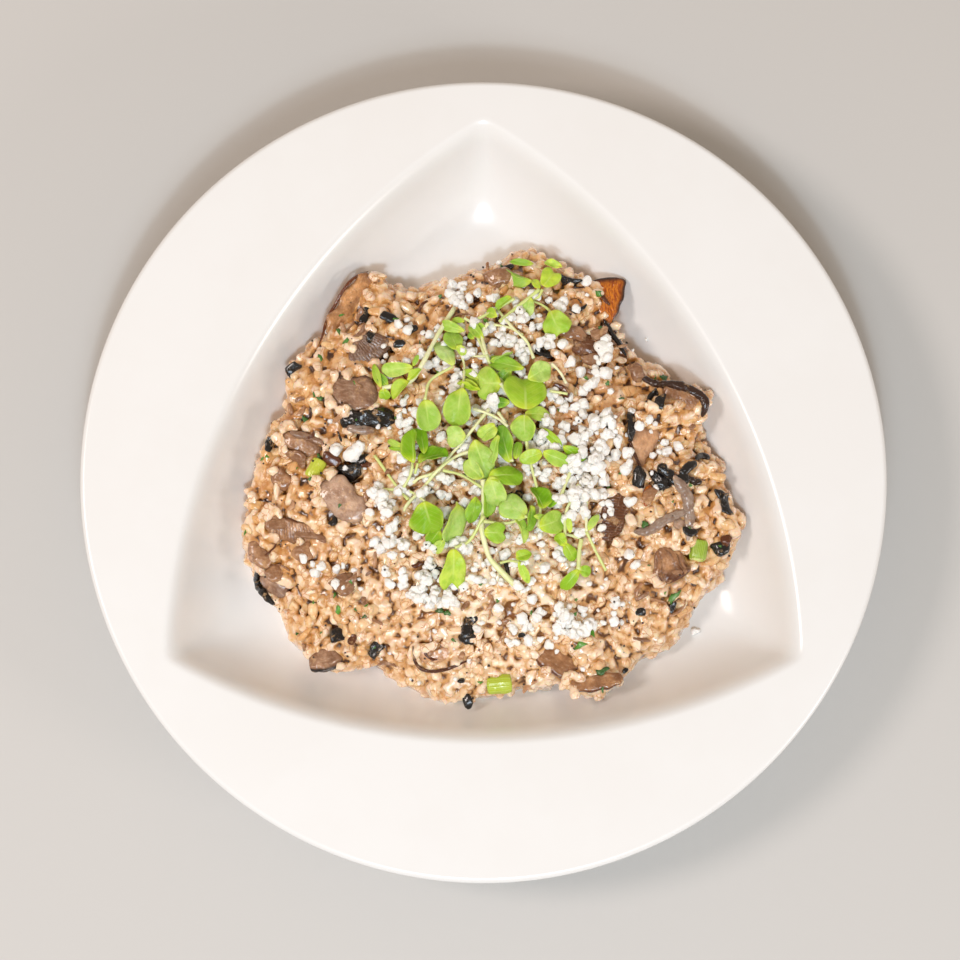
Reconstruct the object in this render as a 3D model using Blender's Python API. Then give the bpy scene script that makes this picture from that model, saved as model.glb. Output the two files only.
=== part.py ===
"""Mushroom risotto heaped in a round white plate with a three-cornered well.

Metres, +Z up. The origin is the middle of the plate, at the height that its foot stands on.
+Y points at the well's upper corner, and the diner sits on the -Y side.
"""

import math

import bmesh
import bpy
from mathutils import Euler, Matrix, Vector, noise

MM = 0.001
SECTORS = 60  # plate and heap share these directions, so their facets never cross
CLEARANCE = 0.4 * MM

# The plate: a shallow cone of a rim around a well whose edge is a Reuleaux triangle.
PLATE_RADIUS = 152.5 * MM
PLATE_HEIGHT = 40.0 * MM
LIP_ROUND = 2.2 * MM
RIM_FALL = 3.5 * MM
RIM_THICKNESS = 4.6 * MM
WELL_REACH = 135.0 * MM  # middle of the plate to a corner of the well
WELL_SIDE = WELL_REACH * math.sqrt(3.0)
WELL_NARROW = WELL_SIDE - WELL_REACH  # middle of the plate to the middle of a side
WELL_CORNERS = [Vector((0, WELL_REACH)), Vector((0, WELL_REACH)), Vector((0, WELL_REACH))]
WELL_CORNERS[1].rotate(Matrix.Rotation(math.radians(120), 2))
WELL_CORNERS[2].rotate(Matrix.Rotation(math.radians(240), 2))
CORNER_SOFTNESS = 1.2 * MM
CREASE_FADE = 0.12  # how fast the crease from a corner softens on its way down
WALL_RUN = 32.0 * MM
WALL_CURVE = 2.3
WALL_THICKNESS = 6.5 * MM
RIDGE_ROUND = 3.0 * MM
FLOOR_TOP = 9.0 * MM
FLOOR_UNDER = 3.4 * MM
FOOT_RADIUS = 68.0 * MM
FOOT_WIDTH = 5.0 * MM
FOOT_DRAFT = 1.2 * MM

# The heap of rice: how far its edge reaches every ten degrees, anticlockwise from +X.
HEAP_REACH = [
    96, 87, 95, 84, 78, 80, 93, 92, 93, 86, 84, 82,
    93, 88, 87, 89, 84, 87, 91, 96, 97, 93, 97, 95,
    83, 85, 87, 84, 82, 86, 95, 92, 97, 96, 100, 102,
]
HEAP_CROWN = 37.0 * MM
HEAP_EDGE = 3.6 * MM
HEAP_FULLNESS = 2.2
HEAP_SHOULDER = 0.6
LUMP_SIZE = 15.0 * MM
LUMP_HEIGHT = 1.6 * MM

# The microgreens: a loose pile seen as one body, its reach every thirty degrees about its middle.
GREENS_MIDDLE = Vector((2 * MM, 12 * MM))
GREENS_REACH = [37, 41, 68, 66, 56, 52, 38, 39, 48, 54, 60, 50]
GREENS_HEIGHT = 11.0 * MM

# Cooked mushroom pieces: place in the plate, then length, width and thickness, all in millimetres.
# Heading turns the piece about +Z, roll stands it on its long edge and bend curls it along its
# length. Lift is how far its middle stands above the rice. Flare widens the far end and narrows
# the near one, as in a wedge cut from a cap.
MUSHROOMS = {
    "mushroom_long_edge": dict(at=(-54, 64), size=(31, 8, 3.2), heading=57, roll=58, bend=24, lift=0.4),
    "mushroom_curl_upper": dict(at=(-44, 49), size=(16, 12, 4.0), heading=30, roll=15, bend=60, lift=0.2),
    "mushroom_square": dict(at=(-49, 32), size=(18, 13, 4.4), heading=-8, roll=-8, bend=0, lift=0.8),
    "mushroom_dark_band": dict(at=(-44, 21.5), size=(20, 5, 3.6), heading=6, roll=10, bend=20, lift=0.8),
    "mushroom_pair": dict(at=(-71, 13), size=(16, 5.5, 3.6), heading=-14, roll=10, bend=15, lift=0.8),
    "mushroom_cube": dict(at=(-77, -0.5), size=(9, 7, 5.0), heading=-35, roll=10, bend=0, lift=0.6),
    "mushroom_pale": dict(
        at=(-53, -9), size=(21, 13, 4.2),
        heading=-42, roll=8, bend=30, lift=0.6, flare=-0.2,
    ),
    "mushroom_curl_left": dict(at=(-73, -20), size=(22, 9, 3.6), heading=-14, roll=20, bend=40, lift=0.6),
    "mushroom_nub": dict(at=(-87, -28), size=(10, 6, 4.4), heading=-68, roll=0, bend=0, lift=0.4),
    "mushroom_cap_rim": dict(at=(-79, -43), size=(16, 8, 4.0), heading=-54, roll=25, bend=40, lift=1.6),
    "mushroom_low_left": dict(at=(-60, -69), size=(13, 8, 4.0), heading=16, roll=-20, bend=20, lift=1.8),
    "mushroom_hooked": dict(at=(-17, -68), size=(21, 5, 2.6), heading=2, roll=50, bend=70, lift=0.6),
    "mushroom_flake": dict(at=(-5, -58), size=(12, 6, 3.2), heading=80, roll=0, bend=25, lift=0.6),
    "mushroom_low_right": dict(at=(27.5, -69.5), size=(17, 10, 4.0), heading=-30, roll=-12, bend=0, lift=0.8),
    "mushroom_low_strip": dict(at=(42, -78), size=(22, 6, 3.2), heading=8, roll=-10, bend=16, lift=1.8),
    "mushroom_fan": dict(at=(72, -34), size=(14, 12, 4.4), heading=230, roll=0, bend=0, lift=0.8, flare=0.5),
    "mushroom_wedge": dict(
        at=(60, 12), size=(20, 11, 3.8),
        heading=252, roll=12, bend=10, lift=0.8, flare=0.35,
    ),
    "mushroom_tangle": dict(at=(76, 5), size=(21, 9, 5.0), heading=14, roll=0, bend=30, lift=0.8),
    "mushroom_ribbon": dict(at=(77, -13), size=(24, 4, 3.2), heading=-98, roll=35, bend=-75, lift=0.8),
    "mushroom_dark_slab": dict(at=(49, -17), size=(18, 10, 4.0), heading=66, roll=10, bend=0, lift=0.4),
    "mushroom_crescent": dict(at=(78, 33), size=(24, 7, 3.0), heading=-26, roll=48, bend=-70, lift=1.4),
    "mushroom_amber": dict(
        at=(48, 70), size=(17, 11, 3.0),
        heading=105, roll=-14, bend=0, lift=2.2, flare=0.55,
    ),
    "mushroom_pointed": dict(at=(51, 53.5), size=(20, 5, 3.2), heading=-62, roll=30, bend=12, lift=0.8),
    "mushroom_upper": dict(at=(37.5, 52), size=(15, 8, 3.6), heading=-20, roll=0, bend=20, lift=0.6),
}
SLICE_STATIONS = 5
END_TAPER = 0.35
END_THINNING = 0.45
DARK_PIECES = ("dark_band", "tangle", "ribbon", "pointed", "flake")

# Cut lengths of spring onion: place, length and diameter in millimetres.
ONIONS = {
    "onion_left": dict(at=(-63.5, 3), size=(7.0, 6.6), heading=62),
    "onion_right": dict(at=(82, -27), size=(8.0, 6.6), heading=80),
    "onion_low": dict(at=(6, -78), size=(8.5, 7.6), heading=5),
}
ONION_SIDES = 10


def clear_scene():
    for thing in list(bpy.data.objects):
        bpy.data.objects.remove(thing, do_unlink=True)


def material(name, colour, roughness):
    made = bpy.data.materials.new(name)
    made.use_nodes = True
    shader = made.node_tree.nodes["Principled BSDF"]
    shader.inputs["Base Color"].default_value = (*colour, 1.0)
    shader.inputs["Roughness"].default_value = roughness
    shader.inputs["Metallic"].default_value = 0.0
    return made


def add_object(name, points, faces, finish=None):
    """A mesh object facing outwards, shaded smooth; without a finish it is a hidden cutter."""
    mesh = bpy.data.meshes.new(name)
    mesh.from_pydata([tuple(p) for p in points], [], faces)
    shell = bmesh.new()
    shell.from_mesh(mesh)
    bmesh.ops.recalc_face_normals(shell, faces=shell.faces)
    shell.to_mesh(mesh)
    shell.free()
    mesh.shade_smooth()
    mesh.set_sharp_from_angle(angle=math.radians(50))
    made = bpy.data.objects.new(name, mesh)
    bpy.context.scene.collection.objects.link(made)
    if finish:
        mesh.materials.append(finish)
    else:
        made.hide_render = True
        made.display_type = "WIRE"
    return made


def skin_rings(rings):
    """Points and faces of a closed body through rings of equal length; a lone point caps an end."""
    points = []
    starts = []
    for ring in rings:
        starts.append(len(points))
        points.extend(ring)
    faces = []
    for first, second, start, after in zip(rings, rings[1:], starts, starts[1:]):
        count = max(len(first), len(second))
        for i in range(count):
            j = (i + 1) % count
            low = [start] if len(first) == 1 else [start + i, start + j]
            high = [after] if len(second) == 1 else [after + j, after + i]
            faces.append(low + high)
    return points, faces


def directions():
    return [math.tau * i / SECTORS for i in range(SECTORS)]


def smooth_minimum(a, b, reach):
    mix = min(max(0.5 + 0.5 * (b - a) / reach, 0.0), 1.0)
    return b + (a - b) * mix - reach * mix * (1.0 - mix)


def well_inset(x, y):
    """How far a point lies inside the well's edge; the corners and creases are softened."""
    away = [math.hypot(x - c.x, y - c.y) for c in WELL_CORNERS]
    furthest = max(away)
    softness = CORNER_SOFTNESS + CREASE_FADE * max(WELL_SIDE - furthest, 0.0)
    spread = sum(math.exp((d - furthest) / softness) for d in away)
    return WELL_SIDE - furthest - softness * math.log(spread)


def radius_at_inset(angle, inset):
    """Distance from the middle to the line that runs this far inside the well's edge."""
    near, far = 0.0, PLATE_RADIUS * 1.1
    for _ in range(40):
        middle = (near + far) / 2
        if well_inset(middle * math.cos(angle), middle * math.sin(angle)) > inset:
            near = middle
        else:
            far = middle
    return near


def rim_height(radius):
    share = (PLATE_RADIUS - radius) / (PLATE_RADIUS - WELL_NARROW)
    return PLATE_HEIGHT - RIM_FALL * max(share, 0.0) ** 1.2


def bowl_height(inset, top, bottom):
    """Height of the curved wall: steep under the edge, levelling out into the floor."""
    if inset < 0:
        return top - inset * WALL_CURVE * (top - bottom) / WALL_RUN
    return bottom + (top - bottom) * max(1.0 - inset / WALL_RUN, 0.0) ** WALL_CURVE


def plate_top(x, y):
    rim = rim_height(math.hypot(x, y))
    ridge = PLATE_HEIGHT - RIM_FALL / 2
    return smooth_minimum(rim, bowl_height(well_inset(x, y), ridge, FLOOR_TOP), RIDGE_ROUND)


def plate_under(x, y):
    rim = rim_height(math.hypot(x, y)) - RIM_THICKNESS
    ridge = PLATE_HEIGHT - RIM_FALL / 2 - RIM_THICKNESS
    wall = bowl_height(well_inset(x, y) + WALL_THICKNESS, ridge, FLOOR_UNDER)
    return smooth_minimum(rim, wall, RIDGE_ROUND)


def ring_on(surface, radii, offset=0.0):
    """One point in each direction at the given distance, lying on the surface."""
    ring = []
    for angle, radius in zip(directions(), radii):
        x, y = radius * math.cos(angle), radius * math.sin(angle)
        ring.append(Vector((x, y, surface(x, y) + offset)))
    return ring


def level_ring(radius, height):
    return ring_on(lambda x, y: height, [radius] * SECTORS)


def inset_radii(inset):
    return [radius_at_inset(angle, inset) for angle in directions()]


def between(inner, outer, share):
    return [a + (b - a) * share for a, b in zip(inner, outer)]


def plate_rings():
    floor_edge = inset_radii(WALL_RUN)
    rim_start = inset_radii(-4 * MM)
    lip_start = [PLATE_RADIUS - LIP_ROUND] * SECTORS
    rings = [[Vector((0, 0, FLOOR_TOP))]]
    rings.append(ring_on(plate_top, between([0] * SECTORS, floor_edge, 0.55)))
    for inset in (32, 25, 19, 14, 10, 6.5, 3.5, 1.2, -0.8):
        rings.append(ring_on(plate_top, inset_radii(inset * MM)))
    for share in (0.0, 0.5, 1.0):
        rings.append(ring_on(plate_top, between(rim_start, lip_start, share)))
    for turn in (45, 90, 135):
        out = LIP_ROUND * math.sin(math.radians(turn))
        down = LIP_ROUND * (1 - math.cos(math.radians(turn)))
        rings.append(level_ring(PLATE_RADIUS - LIP_ROUND + out, PLATE_HEIGHT - down))
    rings.append(ring_on(plate_under, [PLATE_RADIUS - 2 * LIP_ROUND] * SECTORS))
    for inset in (-10, -6, -2, 4, 11, 18):
        rings.append(ring_on(plate_under, inset_radii(inset * MM)))
    rings.append(level_ring(FOOT_RADIUS + FOOT_DRAFT, FLOOR_UNDER))
    rings.append(level_ring(FOOT_RADIUS, 0.0))
    rings.append(level_ring(FOOT_RADIUS - FOOT_WIDTH, 0.0))
    rings.append(level_ring(FOOT_RADIUS - FOOT_WIDTH - FOOT_DRAFT, FLOOR_UNDER))
    rings.append([Vector((0, 0, FLOOR_UNDER))])
    return rings


def add_plate():
    glaze = material("white_glaze", (0.86, 0.84, 0.81), 0.12)
    return add_object("plate", *skin_rings(plate_rings()), glaze)


def reach_at(reaches, angle):
    """A distance read from an evenly spaced list round the circle, eased between its entries."""
    place = (angle % math.tau) / math.tau * len(reaches)
    first = int(place) % len(reaches)
    second = (first + 1) % len(reaches)
    ease = (1 - math.cos((place - int(place)) * math.pi)) / 2
    return (reaches[first] + (reaches[second] - reaches[first]) * ease) * MM


def heap_top(x, y):
    """Height of the rice: a full dome over the well that meets the plate in a blunt edge."""
    angle = math.atan2(y, x)
    reach = reach_at(HEAP_REACH, angle)
    share = min(math.hypot(x, y) / reach, 1.0)
    edge = plate_top(reach * math.cos(angle), reach * math.sin(angle)) + HEAP_EDGE
    swell = (1 - share ** HEAP_FULLNESS) ** HEAP_SHOULDER
    lumps = noise.noise(Vector((x, y, 0)) / LUMP_SIZE) * LUMP_HEIGHT * (1 - share ** 6)
    return edge + (HEAP_CROWN - edge) * swell + lumps


def heap_rings(raised=0.0):
    reach = [reach_at(HEAP_REACH, angle) for angle in directions()]
    rings = [[Vector((0, 0, heap_top(0, 0) + raised))]]
    for share in (0.16, 0.31, 0.45, 0.58, 0.7, 0.8, 0.885, 0.95, 0.999):
        radii = [r * share for r in reach]
        rings.append(ring_on(heap_top, radii, raised))
    for share in (1.0, 0.93, 0.85, 0.75, 0.5):
        radii = [r * share for r in reach]
        rings.append(ring_on(plate_top, radii, 1.5 * CLEARANCE))
    rings.append([Vector((0, 0, FLOOR_TOP + 1.5 * CLEARANCE))])
    return rings


def add_heap():
    rice = material("creamed_rice", (0.62, 0.44, 0.28), 0.45)
    return add_object("risotto", *skin_rings(heap_rings()), rice)


def slice_rings(size, bend, flare, grow):
    """Sections of a soft-edged slab swept along an arc that keeps its length."""
    length, width, thickness = (value * MM for value in size)
    turn = math.radians(bend)
    rings = []
    for i in range(SLICE_STATIONS):
        place = i / (SLICE_STATIONS - 1) - 0.5
        along = place * (length + 2 * grow)
        share = abs(place) * 2
        spread = 1 - END_TAPER * share ** 3 + flare * 2 * along / length
        half_width = width / 2 * spread + grow
        half_depth = thickness / 2 * (1 - END_THINNING * share ** 3) + grow
        angle = turn * along / length
        radius = length / turn if turn else 0.0
        centre = Vector((radius * math.sin(angle), radius * (1 - math.cos(angle)), 0))
        if not turn:
            centre = Vector((along, 0, 0))
        across = Vector((-math.sin(angle), math.cos(angle), 0))
        corners = ((1, 0), (0.7, 1), (-0.7, 1), (-1, 0), (-0.7, -1), (0.7, -1))
        ring = [centre + across * a * half_width + Vector((0, 0, b * half_depth)) for a, b in corners]
        rings.append(ring)
    return rings


def capped(rings):
    """Points and faces of a body swept through rings, its ends closed with flat faces."""
    points, faces = skin_rings(rings)
    count = len(rings[0])
    faces.append(list(range(count)))
    faces.append(list(range(len(points) - count, len(points))))
    return points, faces


def placed(points, at, heading, roll, lift):
    """Points turned and set down at a place on top of the rice."""
    x, y = at[0] * MM, at[1] * MM
    turn = Euler((0, 0, math.radians(heading))).to_matrix()
    lean = Euler((math.radians(roll), 0, 0)).to_matrix()
    spot = Vector((x, y, heap_top(x, y) + lift * MM))
    return [turn @ lean @ point + spot for point in points]


def mushroom_shape(piece, grow=0.0):
    rings = slice_rings(piece["size"], piece["bend"], piece.get("flare", 0.0), grow)
    points, faces = capped(rings)
    return placed(points, piece["at"], piece["heading"], piece["roll"], piece["lift"]), faces


def onion_shape(piece, grow=0.0):
    """A short length of green onion stalk lying on its side, flattened a little."""
    length, diameter = (value * MM for value in piece["size"])
    rings = []
    for along, narrow in ((-0.5, 0.86), (-0.42, 1.0), (0.42, 1.0), (0.5, 0.86)):
        radius = diameter / 2 * narrow + grow
        shift = along * (length + 2 * grow)
        ring = []
        for i in range(ONION_SIDES):
            angle = math.tau * i / ONION_SIDES
            ring.append(Vector((shift, radius * math.cos(angle), radius * 0.85 * math.sin(angle))))
        rings.append(ring)
    points, faces = capped(rings)
    return placed(points, piece["at"], piece["heading"], 0, 1.2), faces


def cut(target, cutter, solver="EXACT"):
    pocket = target.modifiers.new(cutter.name, "BOOLEAN")
    pocket.operation = "DIFFERENCE"
    pocket.solver = solver
    pocket.object = cutter


def add_toppings():
    """Every mushroom and onion piece, with a hidden, slightly larger cutter for its pocket."""
    brown = material("brown_mushroom", (0.16, 0.085, 0.05), 0.35)
    dark = material("dark_mushroom", (0.03, 0.022, 0.02), 0.25)
    green = material("spring_onion", (0.30, 0.50, 0.06), 0.35)
    cutters = []
    for name, piece in MUSHROOMS.items():
        is_dark = name.removeprefix("mushroom_") in DARK_PIECES
        add_object(name, *mushroom_shape(piece), dark if is_dark else brown)
        cutters.append(add_object("pocket_" + name, *mushroom_shape(piece, CLEARANCE)))
    for name, piece in ONIONS.items():
        add_object(name, *onion_shape(piece), green)
        cutters.append(add_object("pocket_" + name, *onion_shape(piece, CLEARANCE)))
    return cutters


def greens_rings():
    """A low dome over the crown of the heap that dips below the rice, to be trimmed by it."""
    def around(share, height):
        ring = []
        for angle in [math.tau * i / 24 for i in range(24)]:
            reach = reach_at(GREENS_REACH, angle) * share
            x = GREENS_MIDDLE.x + reach * math.cos(angle)
            y = GREENS_MIDDLE.y + reach * math.sin(angle)
            ring.append(Vector((x, y, heap_top(x, y) + height)))
        return ring

    top = Vector((*GREENS_MIDDLE, heap_top(*GREENS_MIDDLE) + GREENS_HEIGHT))
    rings = [[top]]
    for share in (0.35, 0.62, 0.84, 0.97):
        rings.append(around(share, GREENS_HEIGHT * (1 - share ** 2.5) ** 0.5))
    rings.append(around(1.0, -2.5 * MM))
    rings.append([Vector((*GREENS_MIDDLE, heap_top(*GREENS_MIDDLE) - 6 * MM))])
    return rings


def add_greens(cutters):
    leaf = material("leaf_green", (0.30, 0.50, 0.10), 0.4)
    greens = add_object("microgreens", *skin_rings(greens_rings()), leaf)
    bed = add_object("bed_of_greens", *skin_rings(heap_rings(raised=CLEARANCE)))
    cut(greens, bed)
    for cutter in cutters:
        cut(greens, cutter, "MANIFOLD")  # the exact solver loses the thin pile here


def build():
    clear_scene()
    add_plate()
    heap = add_heap()
    pockets = add_toppings()
    for pocket in pockets:
        cut(heap, pocket)
    add_greens(pockets)


build()
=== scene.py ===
import math

import bmesh
import bpy
import numpy as np
from mathutils import Matrix, Quaternion, Vector, kdtree, noise


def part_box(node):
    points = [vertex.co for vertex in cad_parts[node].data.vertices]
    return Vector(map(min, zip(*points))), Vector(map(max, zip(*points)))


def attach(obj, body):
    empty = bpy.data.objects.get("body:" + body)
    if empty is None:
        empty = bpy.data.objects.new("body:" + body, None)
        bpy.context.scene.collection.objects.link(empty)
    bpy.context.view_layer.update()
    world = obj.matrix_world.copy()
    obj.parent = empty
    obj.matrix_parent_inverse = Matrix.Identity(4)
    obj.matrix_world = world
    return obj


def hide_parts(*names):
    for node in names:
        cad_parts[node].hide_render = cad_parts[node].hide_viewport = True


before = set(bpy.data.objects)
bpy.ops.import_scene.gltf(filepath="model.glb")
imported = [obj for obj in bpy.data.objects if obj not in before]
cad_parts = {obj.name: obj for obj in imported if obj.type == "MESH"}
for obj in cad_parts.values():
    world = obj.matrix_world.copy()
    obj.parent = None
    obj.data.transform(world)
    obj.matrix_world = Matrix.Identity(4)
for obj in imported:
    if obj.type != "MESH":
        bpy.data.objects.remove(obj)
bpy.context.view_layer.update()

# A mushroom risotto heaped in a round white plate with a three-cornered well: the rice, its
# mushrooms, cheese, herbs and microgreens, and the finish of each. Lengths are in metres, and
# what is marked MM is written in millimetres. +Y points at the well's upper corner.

MM = 0.001
TAU = math.tau

# ---- The plate, as in the solids ----

PLATE_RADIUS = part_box("plate")[1].x
PLATE_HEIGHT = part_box("plate")[1].z
LIP_ROUND = 2.2 * MM
RIM_FALL = 3.5 * MM
RIM_THICKNESS = 4.6 * MM
WELL_REACH = 135.0 * MM
WELL_SIDE = WELL_REACH * math.sqrt(3.0)
WELL_NARROW = WELL_SIDE - WELL_REACH
WELL_CORNERS = [(WELL_REACH * math.cos(math.radians(a)), WELL_REACH * math.sin(math.radians(a)))
                for a in (90, 210, 330)]
CORNER_SOFTNESS = 1.2 * MM
CREASE_FADE = 0.12
WALL_RUN = 32.0 * MM
WALL_CURVE = 2.3
WALL_THICKNESS = 6.5 * MM
RIDGE_ROUND = 7.0 * MM
UNDER_ROUND = 3.0 * MM
FLOOR_TOP = 9.0 * MM
FLOOR_UNDER = 3.4 * MM
FOOT_RADIUS = 68.0 * MM
FOOT_WIDTH = 5.0 * MM
FOOT_DRAFT = 1.2 * MM
PLATE_SECTORS = 360
HALVINGS = 40

# ---- The heap of rice, as in the solids: its reach every ten degrees, anticlockwise from +X ----

HEAP_REACH = [
    96, 87, 95, 84, 78, 80, 93, 92, 93, 86, 84, 82,
    93, 88, 87, 89, 84, 87, 91, 96, 97, 93, 97, 95,
    83, 85, 87, 84, 82, 86, 95, 92, 97, 96, 100, 102,
]
# Where the laid grains stop short of the solid's edge: direction and half width in degrees, and
# depth in millimetres.
EDGE_NOTCHES = [
    (0, 2.5, 3.0), (17, 4, 2.6), (25, 4, 3.6), (44, 4, 1.8), (64, 5, 3.2), (98, 7, 2.6),
    (137, 4, 3.0), (148, 4, 2.8), (154, 3, 2.0), (161, 5, 1.6), (180, 2, 3.0), (188, 3, 2.6),
    (291, 2, 5.0), (354, 3, 2.6),
]
HEAP_CROWN = 37.0 * MM
HEAP_EDGE = 3.6 * MM
HEAP_FULLNESS = 2.2
HEAP_SHOULDER = 0.6
LUMP_SIZE = 15.0 * MM
LUMP_HEIGHT = 1.6 * MM


def well_inset(x, y):
    """How far points lie inside the well's edge; the corners and creases are softened."""
    away = np.stack([np.hypot(x - cx, y - cy) for cx, cy in WELL_CORNERS])
    furthest = away.max(0)
    softness = CORNER_SOFTNESS + CREASE_FADE * np.maximum(WELL_SIDE - furthest, 0.0)
    spread = np.exp((away - furthest) / softness).sum(0)
    return WELL_SIDE - furthest - softness * np.log(spread)


def radius_at_inset(angles, inset):
    """Distance from the middle to the line that runs this far inside the well's edge."""
    near = np.zeros(len(angles))
    far = np.full(len(angles), PLATE_RADIUS * 1.1)
    for _ in range(HALVINGS):
        middle = (near + far) / 2
        inside = well_inset(middle * np.cos(angles), middle * np.sin(angles)) > inset
        near = np.where(inside, middle, near)
        far = np.where(inside, far, middle)
    return near


def smooth_minimum(a, b, reach):
    mix = np.clip(0.5 + 0.5 * (b - a) / reach, 0.0, 1.0)
    return b + (a - b) * mix - reach * mix * (1.0 - mix)


def rim_height(radius):
    share = (PLATE_RADIUS - radius) / (PLATE_RADIUS - WELL_NARROW)
    return PLATE_HEIGHT - RIM_FALL * np.maximum(share, 0.0) ** 1.2


def bowl_height(inset, top, bottom):
    """Height of the curved wall: steep under the edge, levelling out into the floor."""
    above = top - inset * WALL_CURVE * (top - bottom) / WALL_RUN
    below = bottom + (top - bottom) * np.clip(1.0 - inset / WALL_RUN, 0.0, 1.0) ** WALL_CURVE
    return np.where(inset < 0, above, below)


def plate_top(x, y):
    ridge = PLATE_HEIGHT - RIM_FALL / 2
    wall = bowl_height(well_inset(x, y), ridge, FLOOR_TOP)
    return smooth_minimum(rim_height(np.hypot(x, y)), wall, RIDGE_ROUND)


def plate_under(x, y):
    ridge = PLATE_HEIGHT - RIM_FALL / 2 - RIM_THICKNESS
    wall = bowl_height(well_inset(x, y) + WALL_THICKNESS, ridge, FLOOR_UNDER)
    return smooth_minimum(rim_height(np.hypot(x, y)) - RIM_THICKNESS, wall, UNDER_ROUND)


def heap_reach(angle):
    """How far the rice reaches in each direction, eased between the measured directions."""
    reaches = np.array(HEAP_REACH) * MM
    place = (angle % TAU) / TAU * len(reaches)
    first = place.astype(int) % len(reaches)
    second = (first + 1) % len(reaches)
    ease = (1 - np.cos((place - np.floor(place)) * np.pi)) / 2
    return reaches[first] + (reaches[second] - reaches[first]) * ease


def laid_reach(angle):
    """How far the laid grains reach: the solid's reach with its finer notches cut in."""
    reach = heap_reach(angle)
    for middle, half_width, depth in EDGE_NOTCHES:
        away = (np.degrees(angle) - middle + 180) % 360 - 180
        reach = reach - depth * MM * np.exp(-(away / half_width) ** 2)
    return reach


def noise_at(points, size, shift=0.0):
    """Smooth noise from -1 to 1 whose waves are about this size, one value for each point."""
    scaled = np.asarray(points) / size + shift
    return np.array([noise.noise(p) for p in scaled.reshape(-1, 3)]).reshape(scaled.shape[:-1])


def heap_top(x, y):
    """Height of the rice as the solids have it: a full dome that ends in a blunt edge."""
    x, y = np.atleast_1d(x).astype(float), np.atleast_1d(y).astype(float)
    angle = np.arctan2(y, x)
    reach = heap_reach(angle)
    share = np.minimum(np.hypot(x, y) / reach, 1.0)
    edge = plate_top(reach * np.cos(angle), reach * np.sin(angle)) + HEAP_EDGE
    swell = (1 - share ** HEAP_FULLNESS) ** HEAP_SHOULDER
    lumps = noise_at(np.stack([x, y, 0 * x], -1), LUMP_SIZE) * LUMP_HEIGHT * (1 - share ** 6)
    return edge + (HEAP_CROWN - edge) * swell + lumps


# ---- Making meshes ----

def facing_out(points, faces):
    """The faces, turned over if they enclose the body inside out."""
    a, b, c = points[faces[:, 0]], points[faces[:, 1]], points[faces[:, 2]]
    volume = np.einsum("ij,ij->i", a, np.cross(b, c)).sum()
    if faces.shape[1] == 4:
        d = points[faces[:, 3]]
        volume += np.einsum("ij,ij->i", a, np.cross(c, d)).sum()
    return faces if volume > 0 else faces[:, ::-1]


def new_object(name, points, faces):
    """An object from arrays of points and of three- or four-cornered faces, shaded smooth."""
    points = np.asarray(points, np.float64).reshape(-1, 3)
    faces = np.ascontiguousarray(facing_out(points, np.asarray(faces, np.int32)))
    mesh = bpy.data.meshes.new(name)
    mesh.vertices.add(len(points))
    mesh.vertices.foreach_set("co", points.astype(np.float32).ravel())
    mesh.loops.add(faces.size)
    mesh.loops.foreach_set("vertex_index", faces.ravel())
    mesh.polygons.add(len(faces))
    mesh.polygons.foreach_set("loop_start", np.arange(0, faces.size, faces.shape[1]))
    mesh.update(calc_edges=True)
    mesh.validate()
    mesh.shade_smooth()
    made = bpy.data.objects.new(name, mesh)
    bpy.context.scene.collection.objects.link(made)
    return made


def paint(thing, **values):
    """Stores one number for each point under each name, for the finish to read."""
    for name, numbers in values.items():
        layer = thing.data.attributes.new(name, "FLOAT", "POINT")
        layer.data.foreach_set("value", np.asarray(numbers, np.float32).ravel())


def serve(thing, finish, slot, *nodes):
    """Gives a piece its finish, sets it on the plate's body and hides the solids it stands for."""
    thing.data.materials.clear()
    thing.data.materials.append(finish)
    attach(thing, "root")
    if nodes:
        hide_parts(*nodes)


def ring_faces(rings, count):
    """Four-cornered faces between equal rings of points that follow one another."""
    rows = np.arange(rings - 1)[:, None] * count
    here = np.arange(count)[None, :]
    after = (here + 1) % count
    sides = np.stack([rows + here, rows + after, rows + count + after, rows + count + here], -1)
    return sides.reshape(-1, 4)


def triangles(quads):
    return np.concatenate([quads[:, [0, 1, 2]], quads[:, [0, 2, 3]]])


def skin(rings):
    """A closed body through equal rings, each end drawn together to a point in its middle."""
    rings = np.asarray(rings)
    count = rings.shape[1]
    width = rings.shape[2]
    points = np.concatenate([rings.reshape(-1, width), rings[0].mean(0)[None],
                             rings[-1].mean(0)[None]])
    here = np.arange(count)
    after = (here + 1) % count
    last = (len(rings) - 1) * count
    start = np.stack([after, here, np.full(count, len(points) - 2)], -1)
    end = np.stack([last + here, last + after, np.full(count, len(points) - 1)], -1)
    return points, np.concatenate([triangles(ring_faces(len(rings), count)), start, end])


def ball(detail):
    """Points and triangles of a unit ball; each step of detail has four times the faces."""
    shell = bmesh.new()
    bmesh.ops.create_icosphere(shell, subdivisions=detail, radius=1.0)
    shell.verts.ensure_lookup_table()
    points = np.array([v.co for v in shell.verts])
    faces = np.array([[v.index for v in f.verts] for f in shell.faces])
    shell.free()
    return points, faces


def joined(bodies, faces):
    """Many copies of one body, each moved on its own, as one array of points and one of faces."""
    count, corners = bodies.shape[:2]
    shift = np.arange(count)[:, None, None] * corners
    return bodies.reshape(-1, 3), (faces[None] + shift).reshape(-1, faces.shape[1])


def unit(vectors):
    return vectors / np.linalg.norm(vectors, axis=-1, keepdims=True)


# ---- The plate ----

def plate_ring(angles, radii, surface):
    x, y = radii * np.cos(angles), radii * np.sin(angles)
    return np.stack([x, y, surface(x, y)], -1)


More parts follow.
